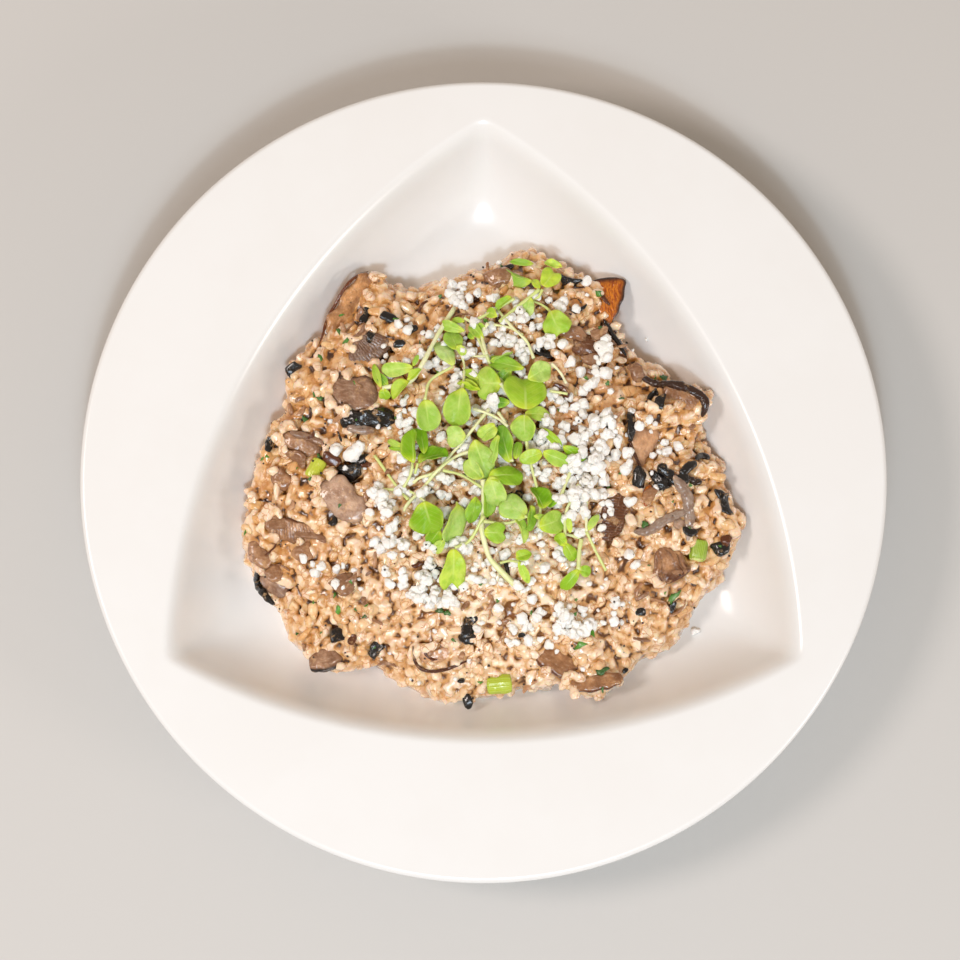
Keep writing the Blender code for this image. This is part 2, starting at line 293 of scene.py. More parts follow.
def build_plate():
    """The whole porcelain body, turned from the middle of the well over the lip to the foot."""
    angles = np.arange(PLATE_SECTORS) / PLATE_SECTORS * TAU
    ones = np.ones(PLATE_SECTORS)
    rings = []

    def level(radius, height):
        rings.append(plate_ring(angles, radius * ones, lambda x, y: height + 0 * x))

    floor_edge = radius_at_inset(angles, WALL_RUN)
    for share in np.linspace(0.02, 0.9, 8):
        rings.append(plate_ring(angles, floor_edge * share, plate_top))
    for inset in np.concatenate([np.arange(32, 6, -1.6), np.arange(6, -5, -0.55)]):
        rings.append(plate_ring(angles, radius_at_inset(angles, inset * MM), plate_top))
    rim_start = radius_at_inset(angles, -5 * MM)
    rim_end = (PLATE_RADIUS - LIP_ROUND) * ones
    for share in np.linspace(0.06, 1.0, 16):
        rings.append(plate_ring(angles, rim_start + (rim_end - rim_start) * share, plate_top))
    for turn in np.radians(np.arange(12, 180, 14)):
        level(PLATE_RADIUS - LIP_ROUND + LIP_ROUND * math.sin(turn),
              PLATE_HEIGHT - LIP_ROUND * (1 - math.cos(turn)))
    for share in np.linspace(0.985, 0.2, 20) ** 1.7:
        rings.append(plate_ring(angles, rim_start + (rim_end - rim_start) * share, plate_under))
    for inset in np.arange(-4.4, 26, 1.6):
        rings.append(plate_ring(angles, radius_at_inset(angles, inset * MM), plate_under))
    middle = FOOT_RADIUS - FOOT_WIDTH / 2
    half = FOOT_WIDTH / 2 + FOOT_DRAFT
    for turn in np.linspace(0, 1, 11):
        across = math.cos(turn * math.pi)
        height = FLOOR_UNDER * abs(across) ** 5
        level(middle + half * across, height)
    for share in (0.8, 0.4, 0.02):
        level((middle - half) * share, FLOOR_UNDER)
    points, faces = skin(rings)
    return new_object("porcelain_plate", points, faces)


# ---- The rice ----

GRAIN_SPACING = 3.7 * MM
GRAIN_BLUNTNESS = 0.78
RICE_VOXEL = 0.55 * MM
RICE_FACES = 190_000
CORE_SIDES = 180
CORE_SHY = 0.8 * MM
LOOSE_GRAINS = 330
CREAM_PATCH = (8.0, -32.0, 48.0)

# Where the rice has sunk into a hollow, which the finish darkens further with painted shade:
# place, then radius and depth, in millimetres.
HOLLOWS = [
    (-50, 3, 6.5, 5), (-55, -59, 4, 4), (56, 22, 4.5, 4), (36, 60, 4, 4), (-34, 50, 5, 4),
    (-20, 44, 5, 4), (62, -26, 4, 3.5), (88, 8, 3.5, 3), (-24, 13, 4, 3), (12, -6, 4, 3),
    (47, -3, 4, 3), (-12, 52, 4, 3.5), (20, 48, 4, 3.5), (33, 40, 5, 4), (-82, -8, 3.5, 3),
]


def hollow_depth(x, y):
    depth = 0 * x
    for at_x, at_y, radius, deep in HOLLOWS:
        away = np.hypot(x - at_x * MM, y - at_y * MM) / (radius * MM)
        depth += deep * MM * np.exp(-away ** 2 * 1.4)
    return depth


def clump_height(x, y):
    """How the grains heap up in clumps, at two sizes."""
    spot = np.stack([x, y, 0 * x], -1)
    return (1.4 * noise_at(spot, 14 * MM, 31.0) + 1.3 * noise_at(spot, 6.5 * MM, 17.0)) * MM


def tangent_frames(x, y, heading, tilt):
    """Axes along, across and out of the heap at each place, turned by a heading and tilted."""
    step = 1.5 * MM
    slope_x = (heap_top(x + step, y) - heap_top(x - step, y)) / (2 * step)
    slope_y = (heap_top(x, y + step) - heap_top(x, y - step)) / (2 * step)
    out = unit(np.stack([-slope_x.clip(-1.6, 1.6), -slope_y.clip(-1.6, 1.6), 1 + 0 * x], -1))
    along = np.stack([np.cos(heading), np.sin(heading), 0 * x], -1)
    along = unit(along - out * (along * out).sum(-1, keepdims=True))
    along = unit(along * np.cos(tilt)[:, None] + out * np.sin(tilt)[:, None])
    across = unit(np.cross(out, along))
    return np.stack([along, across, np.cross(along, across)], 1)


def scattered(rng, spacing, margin):
    """Places on the heap in a shaken honeycomb, out to this far past its edge."""
    reach = (max(HEAP_REACH) + 6) * MM
    rows = np.arange(-reach, reach, spacing * 0.866)
    places = []
    for number, y in enumerate(rows):
        x = np.arange(-reach, reach, spacing) + (number % 2) * spacing / 2
        places.append(np.stack([x, y + 0 * x], -1))
    places = np.concatenate(places)
    places += rng.uniform(-0.36, 0.36, places.shape) * spacing
    away = np.hypot(*places.T)
    edge = laid_reach(np.arctan2(places[:, 1], places[:, 0]))
    return places[away < edge + margin]


def grains_on(rng, places, lift, spread, tilt, length=(4.3, 7.8), width=(3.1, 4.6)):
    """Cooked grains laid on the heap: their middles, axes and half sizes."""
    x, y = places.T
    count = len(x)
    heading = rng.uniform(0, TAU, count)
    axes = tangent_frames(x, y, heading, rng.normal(0, math.radians(tilt), count))
    size = np.stack([
        rng.uniform(*length, count), rng.uniform(*width, count), rng.uniform(2.9, 4.0, count),
    ], -1) * MM / 2
    height = heap_top(x, y) + (lift + rng.uniform(-spread, spread, count)) * MM
    height += clump_height(x, y)
    return np.stack([x, y, height - hollow_depth(x, y)], -1), axes, size


def grain_bodies(rng, grains, template):
    """Plump, slightly bent and knobbly bodies for the grains, from a unit ball's points."""
    middle, axes, size = grains
    count = len(middle)
    body = (np.sign(template) * abs(template) ** GRAIN_BLUNTNESS)[None] * size[:, None]
    wave = np.zeros((count, len(template)))
    for _ in range(5):
        direction = unit(rng.normal(size=(count, 3))) * rng.uniform(1.5, 4.6, (count, 1))
        wave += np.sin(template @ direction.T + rng.uniform(0, TAU, count)).T
    body *= (1 + 0.085 * wave)[..., None]
    bend = rng.uniform(-0.35, 0.35, (count, 1)) * size[:, 1:2]
    body[..., 1] += bend * (template[None, :, 0] ** 2 - 0.4)
    return middle[:, None] + np.einsum("nvi,nij->nvj", body, axes)


def heap_core():
    """The creamed mass under the grains, down to the plate."""
    angles = np.arange(CORE_SIDES) / CORE_SIDES * TAU
    reach = laid_reach(angles) - CORE_SHY
    rings = []
    for share in np.concatenate([np.linspace(0.02, 0.9, 60), np.linspace(0.915, 0.985, 8)]):
        x, y = reach * share * np.cos(angles), reach * share * np.sin(angles)
        spot = np.stack([x, y, 0 * x], -1)
        sag = 1.4 * noise_at(spot, 8 * MM, 7.3) + 0.7 * noise_at(spot, 3 * MM, 2.1)
        top = heap_top(x, y) + clump_height(x, y) - hollow_depth(x, y) * 1.3 - sag * MM
        rings.append(np.stack([x, y, np.maximum(top, plate_top(x, y) + 0.8 * MM)], -1))
    for share in (1.0, 0.93, 0.85, 0.75, 0.5, 0.02):
        x, y = reach * share * np.cos(angles), reach * share * np.sin(angles)
        rings.append(np.stack([x, y, plate_top(x, y) - 0.4 * MM], -1))
    return skin(rings)


def evaluated(thing):
    """The object's points and triangles once its modifiers are applied."""
    depsgraph = bpy.context.evaluated_depsgraph_get()
    mesh = bpy.data.meshes.new_from_object(thing.evaluated_get(depsgraph))
    mesh.calc_loop_triangles()
    points = np.empty(len(mesh.vertices) * 3)
    mesh.vertices.foreach_get("co", points)
    faces = np.empty(len(mesh.loop_triangles) * 3, np.int32)
    mesh.loop_triangles.foreach_get("vertices", faces)
    bpy.data.meshes.remove(mesh)
    return points.reshape(-1, 3), faces.reshape(-1, 3)


def largest_body(points, faces):
    """Leaves out the small closed hollows that a fused body holds inside."""
    label = np.arange(len(points))
    while True:
        lowest = label[faces].min(1)
        fresh = label.copy()
        for corner in range(3):
            np.minimum.at(fresh, faces[:, corner], lowest)
        fresh = fresh[fresh]
        if (fresh == label).all():
            break
        label = fresh
    wanted = np.bincount(label).argmax()
    kept = label == wanted
    number = np.cumsum(kept) - 1
    return points[kept], number[faces[kept[faces[:, 0]]]]


def melted(name, points, faces, voxel, most_faces):
    """Overlapping bodies run together into one skin, with at most this many triangles."""
    raw = new_object(name, points, faces)
    fuse = raw.modifiers.new("fuse", "REMESH")
    fuse.mode = "VOXEL"
    fuse.voxel_size = voxel
    soften = raw.modifiers.new("soften", "SMOOTH")
    soften.factor = 0.5
    soften.iterations = 4
    points, faces = largest_body(*evaluated(raw))
    bpy.data.objects.remove(raw)
    if len(faces) > most_faces:
        raw = new_object(name, points, faces)
        thin = raw.modifiers.new("thin", "DECIMATE")
        thin.ratio = most_faces / len(faces)
        points, faces = evaluated(raw)
        bpy.data.objects.remove(raw)
    return points, faces


def neighbour_mean(values, faces, rounds):
    """Values smoothed over the surface by averaging each point with its neighbours."""
    ends = np.concatenate([faces[:, [0, 1]], faces[:, [1, 2]], faces[:, [2, 0]]])
    ends = np.concatenate([ends, ends[:, ::-1]])
    shares = np.bincount(ends[:, 0], minlength=len(values)).clip(1)[:, None]
    flat = values.reshape(len(values), -1)
    for _ in range(rounds):
        total = np.stack([np.bincount(ends[:, 0], flat[ends[:, 1], k], len(flat))
                          for k in range(flat.shape[1])], -1)
        flat = 0.3 * flat + 0.7 * total / shares
    return flat.reshape(values.shape)


def point_normals(points, faces):
    a, b, c = points[faces[:, 0]], points[faces[:, 1]], points[faces[:, 2]]
    normal = np.cross(b - a, c - a)
    total = np.stack([np.bincount(faces.ravel(), np.repeat(normal[:, k], 3), len(points))
                      for k in range(3)], -1)
    return total / np.maximum(np.linalg.norm(total, axis=1, keepdims=True), 1e-12)


def hollowness(points, faces, rounds, scale):
    """From -1 on knobs to 1 in the hollows between them."""
    inward = neighbour_mean(points, faces, rounds) - points
    return np.clip((inward * point_normals(points, faces)).sum(-1) / scale, -1, 1)


def nearest_grain(points, grains, tones):
    """For each point, how near it lies to a grain (1 inside, 0 in the cream) and that grain's tone."""
    middle, axes, size = grains
    tree = kdtree.KDTree(len(middle))
    for number, place in enumerate(middle):
        tree.insert(place, number)
    tree.balance()
    found = np.array([[hit[1] for hit in tree.find_n(p, 4)] for p in points])
    away = points[:, None] - middle[found]
    local = np.einsum("nkj,nkij->nki", away, axes[found]) / size[found]
    depth = np.linalg.norm(local, axis=-1)
    best = depth.argmin(1)
    rows = np.arange(len(points))
    return np.clip(2.1 - 1.5 * depth[rows, best], 0, 1), tones[found[rows, best]]


def creaminess(points):
    """How thickly the pale cream lies: most in the lower middle of the heap, least at its edge."""
    middle_x, middle_y, reach = CREAM_PATCH
    away = np.hypot(points[:, 0] - middle_x * MM, points[:, 1] - middle_y * MM) / (reach * MM)
    patchy = 0.25 * noise_at(points * [1, 1, 0], 12 * MM, 51.0)
    return np.clip(np.exp(-away ** 2) + patchy, 0, 1)


def build_rice(covered):
    """The creamed heap with its grains half melted in, and the loose grains lying on it."""
    rng = np.random.default_rng(11)
    coarse, coarse_faces = ball(2)
    layers = [
        grains_on(rng, scattered(rng, GRAIN_SPACING, -2.9 * MM), -1.8, 0.8, 22),
        grains_on(rng, scattered(rng, GRAIN_SPACING * 1.3, -3.9 * MM), -0.1, 1.1, 34),
        grains_on(rng, edge_places(rng, 260, (-5.2, -1.7)), -2.4, 1.2, 24),
    ]
    grains = [np.concatenate(parts) for parts in zip(*layers)]
    clear = ~covered(grains[0], -0.2 * MM)
    grains = [part[clear] for part in grains]
    grains = [np.concatenate(parts) for parts in zip(grains, nestling_grains(rng))]
    bodies, faces = joined(grain_bodies(rng, grains, coarse), coarse_faces)
    core, core_faces = heap_core()
    points = np.concatenate([core, bodies])
    faces = np.concatenate([core_faces, faces + len(core)])
    points, faces = melted("creamed_rice", points, faces, RICE_VOXEL, RICE_FACES)
    fine = noise_at(points, 1.3 * MM, 3.0) * 0.42 + noise_at(points, 2.3 * MM, 9.0) * 0.42
    fine += noise_at(points, 4.0 * MM, 15.0) * 0.30
    points += point_normals(points, faces) * fine[:, None] * MM
    points[:, 2] = np.maximum(points[:, 2], plate_top(points[:, 0], points[:, 1]) - 0.5 * MM)
    heap = new_object("creamed_rice", points, faces)
    tones = rng.uniform(0, 1, len(grains[0]))
    near, tone = nearest_grain(points, grains, tones)
    narrow = hollowness(points, faces, 8, 0.45 * MM)
    wide = hollowness(points, faces, 45, 1.5 * MM)
    # The hollow value sets where the rice's finish paints shade in the hollows and highlight on the knobs.
    paint(heap, hollow=0.48 * narrow + 0.7 * wide, grain=near, tone=tone, cream=creaminess(points))

    fine, fine_faces = ball(3)
    places = scattered(rng, GRAIN_SPACING, -2.4 * MM)
    places = places[rng.permutation(len(places))[:LOOSE_GRAINS * 2]]
    loose = grains_on(rng, places, 0.2, 0.7, 20)
    keep = np.flatnonzero(~covered(loose[0], 0.8 * MM))[:LOOSE_GRAINS]
    loose = [part[keep] for part in loose]
    bodies = grain_bodies(rng, loose, fine)
    top = new_object("loose_rice", *joined(bodies, fine_faces))
    paint(top, hollow=np.full(bodies.shape[:2], -0.1), grain=np.full(bodies.shape[:2], 0.85),
          cream=creaminess(bodies.reshape(-1, 3)),
          tone=np.repeat(rng.uniform(0, 1, len(bodies))[:, None], len(fine), 1))
    return heap, top


def edge_places(rng, count, band):
    """Places all round the heap's edge, within a band that runs past it, in millimetres."""
    angle = (np.arange(count) + rng.uniform(-0.4, 0.4, count)) / count * TAU
    radius = laid_reach(angle) + rng.uniform(*band, count) * MM
    return np.stack([radius * np.cos(angle), radius * np.sin(angle)], -1)



# ---- The mushroom pieces, where the solids have them ----
# Place, then length, width and thickness in millimetres. Heading turns a piece about +Z, roll
# stands it on its long edge, bend curls it along its length, and flare widens the far end. Tone
# runs from dark brown at 0 to pale taupe at 1. Rind names the side that keeps the dark skin, and
# face says how its broad sides look. Strips are lips of skin or flesh that belong to the piece:
# each follows a route over the rice.

MUSHROOMS = {
    "long_edge": dict(at=(-51.5, 67), size=(30, 11, 3.4), heading=58, roll=26, bend=14, lift=0.6,
                      tone=0.72, rind="none", face="cut", warm=0.9, buried=0.4, strips=[
                          dict(route=[(-44.6, 82.3), (-49.3, 78.4), (-53.9, 72.8), (-57.8, 66.5),
                                      (-61, 59), (-63.1, 51.5)], width=1.3, lift=0.1)]),
    "curl_upper": dict(at=(-44, 49), size=(16, 12, 4.0), heading=30, roll=15, bend=60, lift=0.6,
                       tone=0.14, grey=0.3, rind="right", face="gills", warm=0.1),
    "square": dict(at=(-49, 32), size=(18, 13, 4.6), heading=-8, roll=-8, bend=0, lift=0.8,
                   tone=0.34, grey=0.25, rind="left", face="cut", warm=0.3),
    "dark_band": dict(at=(-44, 21.5), size=(21, 7.4, 4.6), heading=6, roll=10, bend=20, lift=1.5,
                      tone=0.0, rind="all", face="wrinkled", buried=0.25, strips=[
                          dict(route=[(-52, 18.4), (-47, 17.4), (-41, 17.8)], width=3.4, lift=0.4,
                               rind=0.0, grey=0.8)]),
    "pair": dict(at=(-70, 13), size=(17, 7, 4.0), heading=-24, roll=10, bend=15, lift=1.0,
                 tone=0.46, grey=0.1, rind="right", face="cut", warm=0.5, strips=[
                     dict(route=[(-74, 17.5), (-67, 15.5), (-60.5, 12.4)], width=2.8, rind=0.35, grey=0.4)]),
    "cube": dict(at=(-77, -0.5), size=(9, 7, 5.0), heading=-35, roll=10, bend=0, lift=0.6,
                 tone=0.52, rind="right", face="cut", warm=0.5),
    "pale": dict(at=(-53, -9), size=(21, 13, 4.2), heading=-42, roll=8, bend=30, lift=0.6,
                 flare=-0.2, tone=0.9, grey=0.5, rind="none", face="smooth"),
    "curl_left": dict(at=(-73, -20), size=(22, 9, 3.6), heading=-14, roll=20, bend=40, lift=0.6,
                      tone=0.48, rind="left", face="gills", warm=0.6),
    "nub": dict(at=(-87, -28), size=(10, 6, 4.4), heading=-68, roll=0, bend=0, lift=0.4,
                tone=0.7, rind="none", face="cut"),
    "cap_rim": dict(at=(-80, -40), size=(13, 8, 4.0), heading=-50, roll=20, bend=40, lift=1.2,
                    tone=0.42, grey=0.2, rind="none", face="cut", strips=[
                        dict(route=[(-86.6, -33.5), (-86.4, -39), (-84.2, -43.5), (-79.6, -47.9)],
                             width=3.2, lift=0.3, warm=0.0)]),
    "low_left": dict(at=(-60, -69), size=(13, 8, 4.0), heading=16, roll=-20, bend=20, lift=1.8,
                     tone=0.46, rind="right", face="wrinkled"),
    "hooked": dict(at=(-16.5, -67.4), size=(17, 6, 2.6), heading=2, roll=20, bend=40, lift=-0.4,
                   tone=0.95, rind="none", face="cut", warm=0.5, strips=[
                       dict(route=[(-26.7, -63.8), (-26, -69.4), (-23, -72.7), (-18, -73.5),
                                   (-11.6, -72.1), (-5.1, -69.1)], width=1.4, lift=0.1)]),
    "flake": dict(at=(-5, -58), size=(12, 6, 3.2), heading=80, roll=0, bend=25, lift=0.6,
                  tone=0.0, rind="all", face="wrinkled"),
    "low_right": dict(at=(27.5, -69.5), size=(17, 10, 4.0), heading=-30, roll=-12, bend=0, lift=0.8,
                      tone=0.4, rind="right", face="cut", warm=0.7),
    "low_strip": dict(at=(42, -78), size=(22, 6, 3.2), heading=8, roll=-10, bend=16, lift=1.8,
                      tone=0.45, rind="right", face="cut", warm=0.7),
    "fan": dict(at=(70.3, -32.5), size=(14.5, 13, 3.8), heading=-64, roll=0, bend=0, lift=1.3,
                flare=0.45, tone=0.5, rind="far", face="fan", warm=0.6, buried=0.4),
    "wedge": dict(at=(60, 11.5), size=(19, 9.5, 3.8), heading=72, roll=12, bend=10, lift=1.0,
                  flare=0.35, tone=0.86, grey=0.15, rind="none", face="smooth", warm=0.5, buried=0.4,
                  strips=[
                      dict(route=[(54.8, 14.6), (57.4, 8.6), (60.2, 1.8)], width=1.2, lift=0.1)]),
    "tangle": dict(at=(67.5, -0.8), size=(10, 8, 4.6), heading=14, roll=0, bend=30, lift=0.9,
                   tone=0.0, rind="all", face="wrinkled", strips=[
                       dict(route=[(66.4, 4.6), (69, 1.5), (72, -0.6)], width=4.2, warm=0.0),
                       dict(route=[(70, -1.6), (74.5, -1), (78, 0.4)], width=4.6, warm=0.0),
                       dict(route=[(74.4, 0.6), (77.6, 3.4), (81, 6)], width=3.6, warm=0.0),
                       dict(route=[(80.6, 7), (83.4, 8.6), (86.8, 8)], width=2.6, warm=0.0),
                       dict(route=[(76.6, 0.2), (80.2, -1.8), (83.2, -1.2)], width=2.8, warm=0.1)]),
    "ribbon": dict(at=(74.4, -17.6), size=(9, 6, 2.4), heading=-60, roll=0, bend=0, lift=-0.2,
                   tone=0.7, grey=0.5, rind="none", face="cut", strips=[
                       dict(route=[(71.8, 0), (75.2, -4.1), (77.5, -9.4), (78.2, -15.9),
                                   (77.4, -24.4)], width=4.4, lift=0.6, rind=0.12, warm=0.0, grey=0.95),
                       dict(route=[(77.8, -12.9), (71.6, -15), (65.8, -18.5), (61.6, -20.5),
                                   (56.8, -21)], width=3.8, lift=0.6, rind=0.2, warm=0.0, grey=0.9),
                       dict(route=[(63.2, -3.4), (61.9, -7), (61.4, -11.8)], width=3.0, lift=0.7,
                            rind=0.0, warm=1.0, amber=1.0)]),
    "dark_slab": dict(at=(49, -15.5), size=(19, 10, 4.0), heading=66, roll=10, bend=0, lift=1.6,
                      tone=0.0, rind="left", face="gills", warm=0.7, buried=0.4),
    "crescent": dict(at=(76, 30.5), size=(16, 9, 2.8), heading=-24, roll=10, bend=-40, lift=-1.2,
                     tone=0.4, rind="none", face="cut", warm=0.6, buried=1.0, strips=[
                         dict(route=[(58.4, 40), (65.4, 36.6), (73, 35.2), (79.4, 33), (83.2, 30),
                                     (84.2, 26.6), (83.2, 22.8)], width=3.4, lift=0.4, warm=0.2)]),
    "amber": dict(at=(48.0, 68.8), size=(20, 11, 2.8), heading=94, roll=-8, bend=0, lift=2.8,
                  flare=0.66, tone=0.35, rind="rim", face="smooth", amber=1.0, warm=0.2,
                  buried=0.05),
    "pointed": dict(at=(50.5, 55), size=(17, 4.5, 3.0), heading=-58, roll=24, bend=12, lift=0.8,
                    tone=0.75, rind="left", face="cut", strips=[
                        dict(route=[(46.2, 62.3), (49.7, 56.3), (55.4, 47.6)], width=2.0, lift=0.2,
                             warm=0.0)]),
    "upper": dict(at=(37.5, 52), size=(17, 9, 3.6), heading=-20, roll=0, bend=20, lift=0.8,
                  tone=0.08, rind="left", face="cut", warm=0.6),
}
END_TAPER = 0.35
END_THINNING = 0.45
SLICE_STATIONS = 72
SLICE_SIDES = 40
GILL_SPACING = 1.15 * MM
FIBRE = {"cut": 0.6, "gills": 0.7, "fan": 0.4, "smooth": 0.3, "wrinkled": 0.6}
STRIP_STEPS = 12
STRIP_SIDES = 18


def rotation(axis, degrees):
    return np.array(Matrix.Rotation(math.radians(degrees), 3, axis))


def stance(piece):
    """Where a piece lies on the heap: its turn as a matrix, and its middle."""
    x, y = piece["at"][0] * MM, piece["at"][1] * MM
    turn = rotation("Z", piece["heading"]) @ rotation("X", piece["roll"])
    return turn, np.array([x, y, heap_top(x, y)[0] + piece["lift"] * MM])


def covered_by_mushroom(points, margin):
    """True for each point that a mushroom piece, grown by the margin, holds or lies over."""
    inside = np.zeros(len(points), bool)
    for piece in MUSHROOMS.values():
        turn, middle = stance(piece)
        length, width, thickness = np.array(piece["size"]) * MM
        local = (points - middle) @ turn
        along, across = local[:, 0], local[:, 1]
        if piece["bend"]:
            radius = length / math.radians(piece["bend"])
            side = math.copysign(1.0, radius)
            along = np.arctan2(side * along, side * (radius - across)) * radius
            across = radius - side * np.hypot(local[:, 0], radius - local[:, 1])
        half = width / 2 * (1 + piece.get("flare", 0.0) * 2 * along / length)
        inside |= ((abs(along) < length / 2 + margin) & (abs(across) < half + margin)
                   & (abs(local[:, 2]) < thickness / 2 + margin + 0.6 * MM))
    return inside


def bent(local, length, bend):
    """Carries points of a straight slab over to its curled shape."""
    turn = math.radians(bend)
    if not turn:
        return local
    angle = turn * local[..., 0] / length
    radius = length / turn - local[..., 1]
    return np.stack([radius * np.sin(angle), length / turn - radius * np.cos(angle),
                     local[..., 2]], -1)


def nestling_grains(rng):
    """Grains that crowd over the edges of the mushroom pieces, so that these lie in the rice."""
    places, heights = [], []
    for piece in MUSHROOMS.values():
        turn, middle = stance(piece)
        length, width, thickness = np.array(piece["size"]) * MM
        count = int((length + width) * 2 / (3.6 * MM) * piece.get("buried", 0.7))
        around = rng.uniform(0, TAU, count)
        along = np.sign(np.cos(around)) * abs(np.cos(around)) ** 0.6
        across = np.sign(np.sin(around)) * abs(np.sin(around)) ** 0.6
        past = rng.uniform(-0.3, 1.9, count) * MM
        local = np.stack([along * (length / 2 + past), across * (width / 2 + past),
                          rng.uniform(-0.1, 0.5, count) * thickness], -1)
        spot = bent(local, length, piece["bend"]) @ turn.T + middle
        places.append(spot[:, :2])
        heights.append(spot[:, 2])
    places, heights = np.concatenate(places), np.concatenate(heights)
    x, y = places.T
    low = plate_top(x, y) + 1.5 * MM
    middles, axes, size = grains_on(rng, places, 0, 0, 26)
    middles[:, 2] = np.maximum(heights, low)
    return middles, axes, size * 0.92


def slice_surface(piece, seed):
    """A soft-edged slab with uneven sides, swept along its bend, and what its finish needs."""
    length, width, thickness = np.array(piece["size"]) * MM
    place = np.sin(np.linspace(-1, 1, SLICE_STATIONS) * np.pi / 2 * 0.985)
    around = np.arange(SLICE_SIDES) / SLICE_SIDES * TAU
    across = np.sign(np.cos(around)) * abs(np.cos(around)) ** 0.6
    deep = np.sign(np.sin(around)) * abs(np.sin(around)) ** 0.6
    share = abs(place)
    closing = (1 - share ** 9) ** 0.45
    taper = (1 - END_TAPER * share ** 3 + piece.get("flare", 0.0) * place) * closing
    thin = (1 - END_THINNING * share ** 3) * closing
    along = np.repeat((place * length / 2)[:, None], SLICE_SIDES, 1)
    sideways = across[None] * (width / 2 * taper)[:, None]
    height = deep[None] * (thickness / 2 * thin)[:, None]
    spot = np.stack([along, sideways, height], -1)

    wander = noise_at(spot[:, 0] * [1, 0, 0], 6 * MM, seed)[:, None] * 0.13 * width
    ragged = noise_at(spot * [1, 1, 0], 4.5 * MM, seed + 21.0) * 0.9 * MM
    lumps = noise_at(spot, 3.2 * MM, seed + 5.0)
    fine = noise_at(spot, 1.1 * MM, seed + 9.0)
    face = abs(deep[None]) ** 3 * (1 - share[:, None] ** 6)
    relief = 0.42 * MM * lumps + 0.16 * MM * fine
    gill = 0 * lumps
    if piece["face"] == "gills":
        swing = along + sideways * 0.35 + 0.5 * MM * lumps
        gill = np.sin(swing / GILL_SPACING * TAU)
        relief += 0.24 * MM * gill * face
    if piece["face"] == "fan":
        gill = np.sin(sideways / taper.clip(0.2)[:, None] / (GILL_SPACING * 2.1) * TAU + 0.6 * lumps)
        relief += 0.36 * MM * gill * face
    if piece["face"] == "smooth":
        relief *= 0.4
    if piece["face"] == "wrinkled":
        crease = 1 - abs(noise_at(spot * [0.5, 1, 1], 2.4 * MM, seed + 3.0)) * 2.4
        relief += 0.7 * MM * np.clip(crease, -0.6, 1.0)
    room = np.minimum(closing[:, None] * 1.2, 1.0)
    sideways = sideways + across[None] * (relief + ragged) * room + wander * room
    height = height + deep[None] * relief * room
    height += noise_at(spot * [1, 0.6, 0], 7 * MM, seed + 13.0) * 0.12 * thickness * room

    sides = {"left": across[None], "right": -across[None], "top": deep[None],
             "far": 0.70 + 0.30 * place[:, None] + 0.10 * gill, "all": 1.0, "none": -1.0,
             "rim": np.maximum(abs(across)[None], abs(place)[:, None])}
    rind = np.clip((sides[piece["rind"]] - 0.80) / 0.14, 0, 1) + 0 * along
    surface = bent(np.stack([along, sideways, height], -1), length, piece["bend"])
    edge = np.maximum(abs(across)[None] ** 3, share[:, None] ** 3)
    return surface, rind, gill * face, edge, spot


def strip_surface(strip, seed, ground):
    """A lip of mushroom along a route over the rice: thin, uneven and wrinkled across."""
    flat = np.array(strip["route"]) * MM
    height = np.array([ground.level(x, y, (strip["width"] / 2 + 0.8) * MM, 0.7) for x, y in flat])
    height += strip.get("lift", 0.2) * MM
    route = smooth_route(np.column_stack([flat, height]), STRIP_STEPS)
    place = np.linspace(-1, 1, len(route))
    run = unit(np.gradient(route, axis=0))
    side = unit(np.cross(run, [0.0, 0.0, 1.0]))
    up = np.cross(side, run)
    around = np.arange(STRIP_SIDES) / STRIP_SIDES * TAU
    closing = (1 - abs(place) ** 5) ** 0.5 * (1 - 0.25 * abs(place) ** 2)
    broad = strip["width"] / 2 * MM * closing
    deep = (0.45 * strip["width"] + 0.7) / 2 * MM * closing
    sideways = np.cos(around)[None] * broad[:, None]
    rise = np.sin(around)[None] * deep[:, None]
    along = np.repeat((np.cumsum(np.linalg.norm(np.gradient(route, axis=0), axis=1)))[:, None],
                      STRIP_SIDES, 1)
    spot = np.stack([along, sideways, rise], -1)
    swell = 1 + 0.30 * noise_at(spot * [1, 0.2, 0.2], 3.0 * MM, seed)
    swell += 0.22 * noise_at(spot, 1.4 * MM, seed + 4.0)
    swell = 1 + (swell - 1) * np.minimum(closing * 1.5, 1)[:, None]
    wander = noise_at(spot * [1, 0, 0], 7 * MM, seed + 8.0) * 0.5 * MM
    rings = (route[:, None] + ((sideways * swell + wander)[..., None] * side[:, None])
             + (rise * swell)[..., None] * up[:, None])
    return rings, spot


